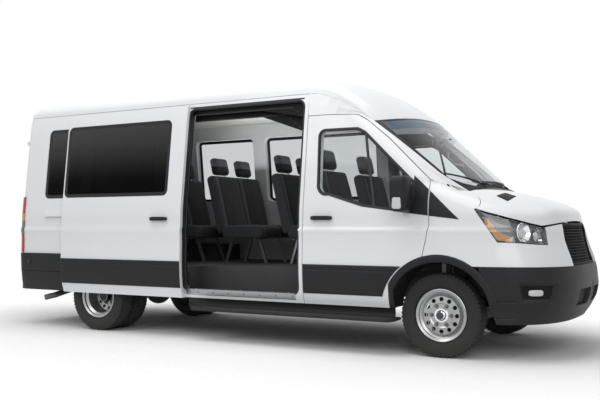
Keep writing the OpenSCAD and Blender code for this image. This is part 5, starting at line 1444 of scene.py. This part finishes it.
def padding(across, along, thick, lift, stations=26, step=21, round_end=26):
    """A pad's points: a rounded section drawn across and in at its ends; lift moves its face."""
    base = dense(rounded(0, along, -thick, 0, min(thick, along) * 0.42, 7), step)
    half = across / 2
    u = np.concatenate([-half + round_end * (1 - np.cos(np.linspace(0, np.pi / 2, 7)[:-1])),
                        np.linspace(-half + round_end, half - round_end, stations),
                        half - round_end * (1 - np.cos(np.linspace(np.pi / 2, 0, 7)[1:]))])
    reach = np.clip((np.abs(u) - (half - round_end)) / round_end, 0, 1)
    d = round_end * (1 - np.sqrt(1 - reach ** 2)) * 0.9
    mid = np.array([along / 2, -thick / 2])
    rows = [inset(base, float(v)) if v > 0 else base for v in d]
    first, last = rows[0] - mid, rows[-1] - mid
    rows = [mid + first * s for s in (0.0, 0.5)] + rows + [mid + last * s for s in (0.5, 0.0)]
    u = np.concatenate([[u[0]] * 2, u, [u[-1]] * 2])
    q = np.stack(rows)
    v, w = q[..., 0], q[..., 1]
    face = np.clip((w + thick) / thick, 0, 1) ** 2
    uu = u[:, None] + 0 * v
    w = w + face * lift(uu / half, v / along)
    return np.stack([uu, v, w], -1)


def line_of(a, at, width):
    """A seam: one on the line at a place, falling off to nought over a width."""
    return np.exp(-((a - at) / width) ** 2)


def cushion_lift(u, v):
    """Seat cushion: bolsters at the sides, a crowned middle, two seams across and one each side."""
    side = ramp(0.60, 0.86, np.abs(u)) * 16
    crown = 12 * (1 - (u / 0.62) ** 2) * (np.abs(u) < 0.62) * np.sin(np.pi * np.clip(v, 0, 1))
    seam = 9 * line_of(np.abs(u), 0.64, 0.022)
    seam = seam + 6 * (np.abs(u) < 0.62) * (line_of(v, 0.36, 0.016) + line_of(v, 0.68, 0.016))
    return side + crown - seam


def back_lift(u, v):
    """Seat back: side bolsters, a crowned middle with seams across, hollowed at the shoulders."""
    side = ramp(0.58, 0.86, np.abs(u)) * 18 * (1 - 0.6 * ramp(0.7, 1.0, v))
    crown = 13 * (1 - (u / 0.62) ** 2) * (np.abs(u) < 0.62) * (0.4 + 0.6
                                                               * np.sin(np.pi * np.clip(v * 1.1, 0, 1)))
    seam = 9 * line_of(np.abs(u), 0.62, 0.022)
    seam = seam + 6 * (np.abs(u) < 0.60) * (line_of(v, 0.30, 0.012) + line_of(v, 0.55, 0.012)
                                            + line_of(v, 0.78, 0.012))
    return side + crown - seam


def rest_lift(u, v):
    """Headrest: crowned, with one seam round its face."""
    return 10 * (1 - u ** 2) * np.sin(np.pi * np.clip(v, 0, 1)) - 5 * line_of(np.abs(u), 0.72, 0.03)


def set_pad(grid, origin, along, normal, y):
    """Puts a pad's points in the van: across along y, its length and face along two given ways."""
    a, n = np.asarray(along), np.asarray(normal)
    return (np.asarray(origin) + grid[..., 1:2] * a + grid[..., 2:3] * n
            + np.stack([0 * grid[..., 0], grid[..., 0] + y, 0 * grid[..., 0]], -1))


def seat(x, y, width, tall):
    """One place: cushion, back and headrest, as grids."""
    foot = np.array([x, 0, SEAT_Z - 20.0])
    cushion = set_pad(padding(width - 8, 515, 124, cushion_lift), (x - 36, 0, SEAT_Z - 14), (1, 0, 0.02),
                      (0, 0, 1), y)
    back = set_pad(padding(width - 8, tall, 104, back_lift), foot - BACK_UP * 46 - BACK_OUT * 4, BACK_UP,
                   BACK_OUT, y)
    top = foot + BACK_UP * (tall - 28) - BACK_OUT * 10
    rest = set_pad(padding(252, 190, 84, rest_lift, 16, 16, 34), top, BACK_UP, BACK_OUT, y)
    return cushion, back, rest


def soft_piece(name, grids, grey, body, node_name):
    """Several pads as one padded piece; the bolsters of those marked are grey."""
    points, faces, index, start = [], [], [], 0
    for g, marks in zip(grids, grey):
        n, m = g.shape[:2]
        f = quads(n, m, False, True)
        faces.append(f + start)
        across = np.abs(g[..., 1] - g[..., 1].mean()) / max(np.ptp(g[..., 1]) / 2, 1)
        index.append(((across.reshape(-1)[f].mean(1) > 0.635) & marks).astype(int))
        points.append(g.reshape(-1, 3))
        start += n * m
    obj = add(name, np.concatenate(points), np.concatenate(faces), [cloth_black, cloth_grey], body,
              index=np.concatenate(index), sharp=None, replaces=node_name, slot="seat_cloth")
    outward(obj)
    return obj


def posts(x, y, tall):
    """The two rods that carry a headrest."""
    foot = np.array([x, y, SEAT_Z - 20.0]) - BACK_OUT * 48
    ends = BACK_UP * np.array([[tall - 90], [tall + 10]])
    return [tube("post", foot + [0, s * 70, 0] + ends, 7, steel, "body", sides=12) for s in (-1, 1)]


def leg(x0, z0, x1, z1, y, w=30, t=26):
    """A flat leg between two places, seen from the side as a slanting bar."""
    return beam("leg", [(x0, z0), (x0 + t, z0), (x1 + t, z1), (x1, z1)], y, y + w, steel)


grids, grey, rods = [], [], []
for side in (1, -1):
    grids += seat(-1120, side * 430, 520, FRONT_BACK)
    grey += [True, True, False]
    rods += posts(-1120, side * 430, FRONT_BACK)
soft_piece("front_seat_pads", grids, grey, "body", "front_seats")
for side in (1, -1):
    g = rounded_block((-1180, -720), (430 * side - 200, 430 * side + 200), (690, 975), 7)
    rods.append(outward(add("pedestal", g, quads(*g.shape[:2], True, False), dash_dark, "body")))
merged("front_seat_frames", rods)

grids, grey, rods = [], [], []
for i in range(4):
    x = -1960 - 830 * i
    y0, w, places = (-64, 920, 2) if i < 3 else (-856, 1712, 4)
    each = w / places
    for k in range(places):
        y = y0 + each * (k + 0.5)
        grids += seat(x, y, each, BENCH_BACK)
        grey += [True, True, False]
        rods += posts(x, y, BENCH_BACK)
    for y in (y0 + 120, y0 + w - 420):
        rods.append(leg(x + 450, 692, x + 350, 975, y))
        rods.append(leg(x - 70, 692, x + 20, 975, y))
    for rail_x in (x + 370, x + 20):
        rods.append(tube("rail", [(rail_x, y0 + 30, 962), (rail_x, y0 + w - 30, 962)], 16, steel, "body"))
soft_piece("bench_pads", grids, grey, "body", "benches")
merged("bench_frames", rods)

# Doorway seals, sill plate bolts and track
x0, x1, z0, z1 = DOORWAY
edge = dense(rounded(x0 + 1, x1 - 1, z0 + 1, z1 - 1, 70), 25)
start = int(np.argmin(np.abs(edge[:, 0] - x0 - 71) + np.abs(edge[:, 1] - z0 - 1)))
edge = np.roll(edge, -start, 0)
if edge[1, 0] > edge[0, 0]:
    edge = np.roll(edge[::-1], 1, 0)
stop = int(np.argmin(np.abs(edge[:, 0] - x1 + 71) + np.abs(edge[:, 1] - z0 - 1)))
edge = edge[:stop + 1]
line = on_flank(-1)(edge[:, 0], edge[:, 1], -6)
normals = [0.0, -1, 0]
sweep("doorway_seal", line, normals, [(-16, -30), (12, -30), (12, 2), (4, 7), (-6, 7), (-16, 0)], rubber,
      "body", closed=False)
line = on_flank(-1)(edge[:, 0], edge[:, 1], -52)
sweep("doorway_inner_seal", line, normals, [(-24, -20), (16, -20), (16, -4), (8, 6), (-24, 4)], gloss_black,
      "body", closed=False)
for k, (deep, low, cut_x) in enumerate(((40, 2175, 150), (100, 2120, 260))):
    outline = np.array([(x0 + 6, z1 - 4), (x0 + 6, low), (x1 - cut_x, low), (x1 - 6, low - cut_x * 0.75),
                        (x1 - 6, z1 - 4)])
    pane("door_header_%d" % (k + 1), outline, 10, on_flank(-1), [flat_black, rubber], "body", -deep, 20,
         step=80)
plate_z = np.array([424.0, 428, 450, 472, 480])
plate_x = np.linspace(x0 + 40, x1 - 40, 20)
face = flank_grid(plate_x, plate_z, 2.2)
top = np.array(face[:, -1:])
top[..., 1] -= 66
scuff = np.concatenate([face, top], 1)
plate("sill_scuff_plate", mirrored(scuff), mirrored(scuff - [0, 1.6, 1.6]), steel, "body")
bolts = []
for xb in np.linspace(x0 + 130, x1 - 130, 7):
    yb = -(float(wall_y(470)) - 36)
    bolts.append(turned("bolt", [(0, 0), (9, 0), (9, 2), (6, 4.5), (0, 5)], (xb, yb, 478), chrome, "body",
                        16, "z"))
    yb = -(float(wall_y(452)) + 2)
    bolts.append(turned("bolt", [(0, 0), (8, 0), (8, -2), (5, -4.5), (0, -5)], (xb + 60, yb, 452), iron,
                        "body", 16, "y"))
merged("sill_plate_bolts", bolts)
strip_x = np.linspace(x0 + 10, x1 - 10, 12)
strip_z = np.linspace(2243, 2257, 3)
plate("upper_track_slot", mirrored(flank_grid(strip_x, strip_z, 1.0)),
      mirrored(flank_grid(strip_x, strip_z, -2.0)), rubber, "body")

# Tail lamps and rear fittings
z = np.concatenate([np.linspace(800, 806, 3)[:-1], np.linspace(806, 1406, 61),
                    np.linspace(1406, 1412, 3)[1:]])
angles = np.linspace(90, 0, 25)
lift = 13.4 * np.sqrt(np.clip(1 - (1 - np.clip(np.minimum(z - 800, 1412 - z) / 8, 0, 1)) ** 2, 0, 1))
parts = []
for side in (1, -1):
    outer = corner_grid(angles, z, 0.4)
    inner = corner_grid(angles, z, 0.35)
    stand = corner_grid(angles, z, 14.0)
    outer = outer + (stand - outer) * (lift / 13.6)[None, :, None]
    outer, inner = sided(side, outer, inner)
    points, faces, index = shell(outer, inner)
    height = points[:, 2][faces].mean(1)
    finish_of = np.where((height > 1010) & (height < 1150), 1,
                         np.where((height > 1150) & (height < 1230), 2, 0))
    parts.append(outward(add("tail_lamp", points, faces, [red_lens, lamp_grey, amber], "body",
                             index=finish_of)))
lamps = merged("tail_lamp_lenses", parts)
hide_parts("tail_lamps")

for side, word in SIDES:
    body = word + "_back_door"
    pane(word + "_rear_pane", rounded(152, 638, 1402, 2078, 50), 34, on_back(side), glass[-1], body, -6, 6,
         replaces=word + "_rear_door_glass", slot="tinted_glass")
    edge = dense(rounded(150, 640, 1400, 2080, 50), 25)
    line = on_back(side)(edge[:, 0], edge[:, 1], 0)
    sweep(word + "_rear_window_seal", line, [-1.0, 0, 0],
          [(-8, -8), (8, -8), (8, 1), (5, 3.5), (-5, 3.5), (-8, 1)], rubber, body)
block("rear_handle", (REAR_X - 30, REAR_X - 2), (-165, -35), (1080, 1130), plastic, "right_back_door", 5)
pane("rear_plate_field", rounded(140, 660, 880, 1010, 12), 8, on_back(1), grey_lens, "left_back_door", 3, 3)
bpy.context.view_layer.update()
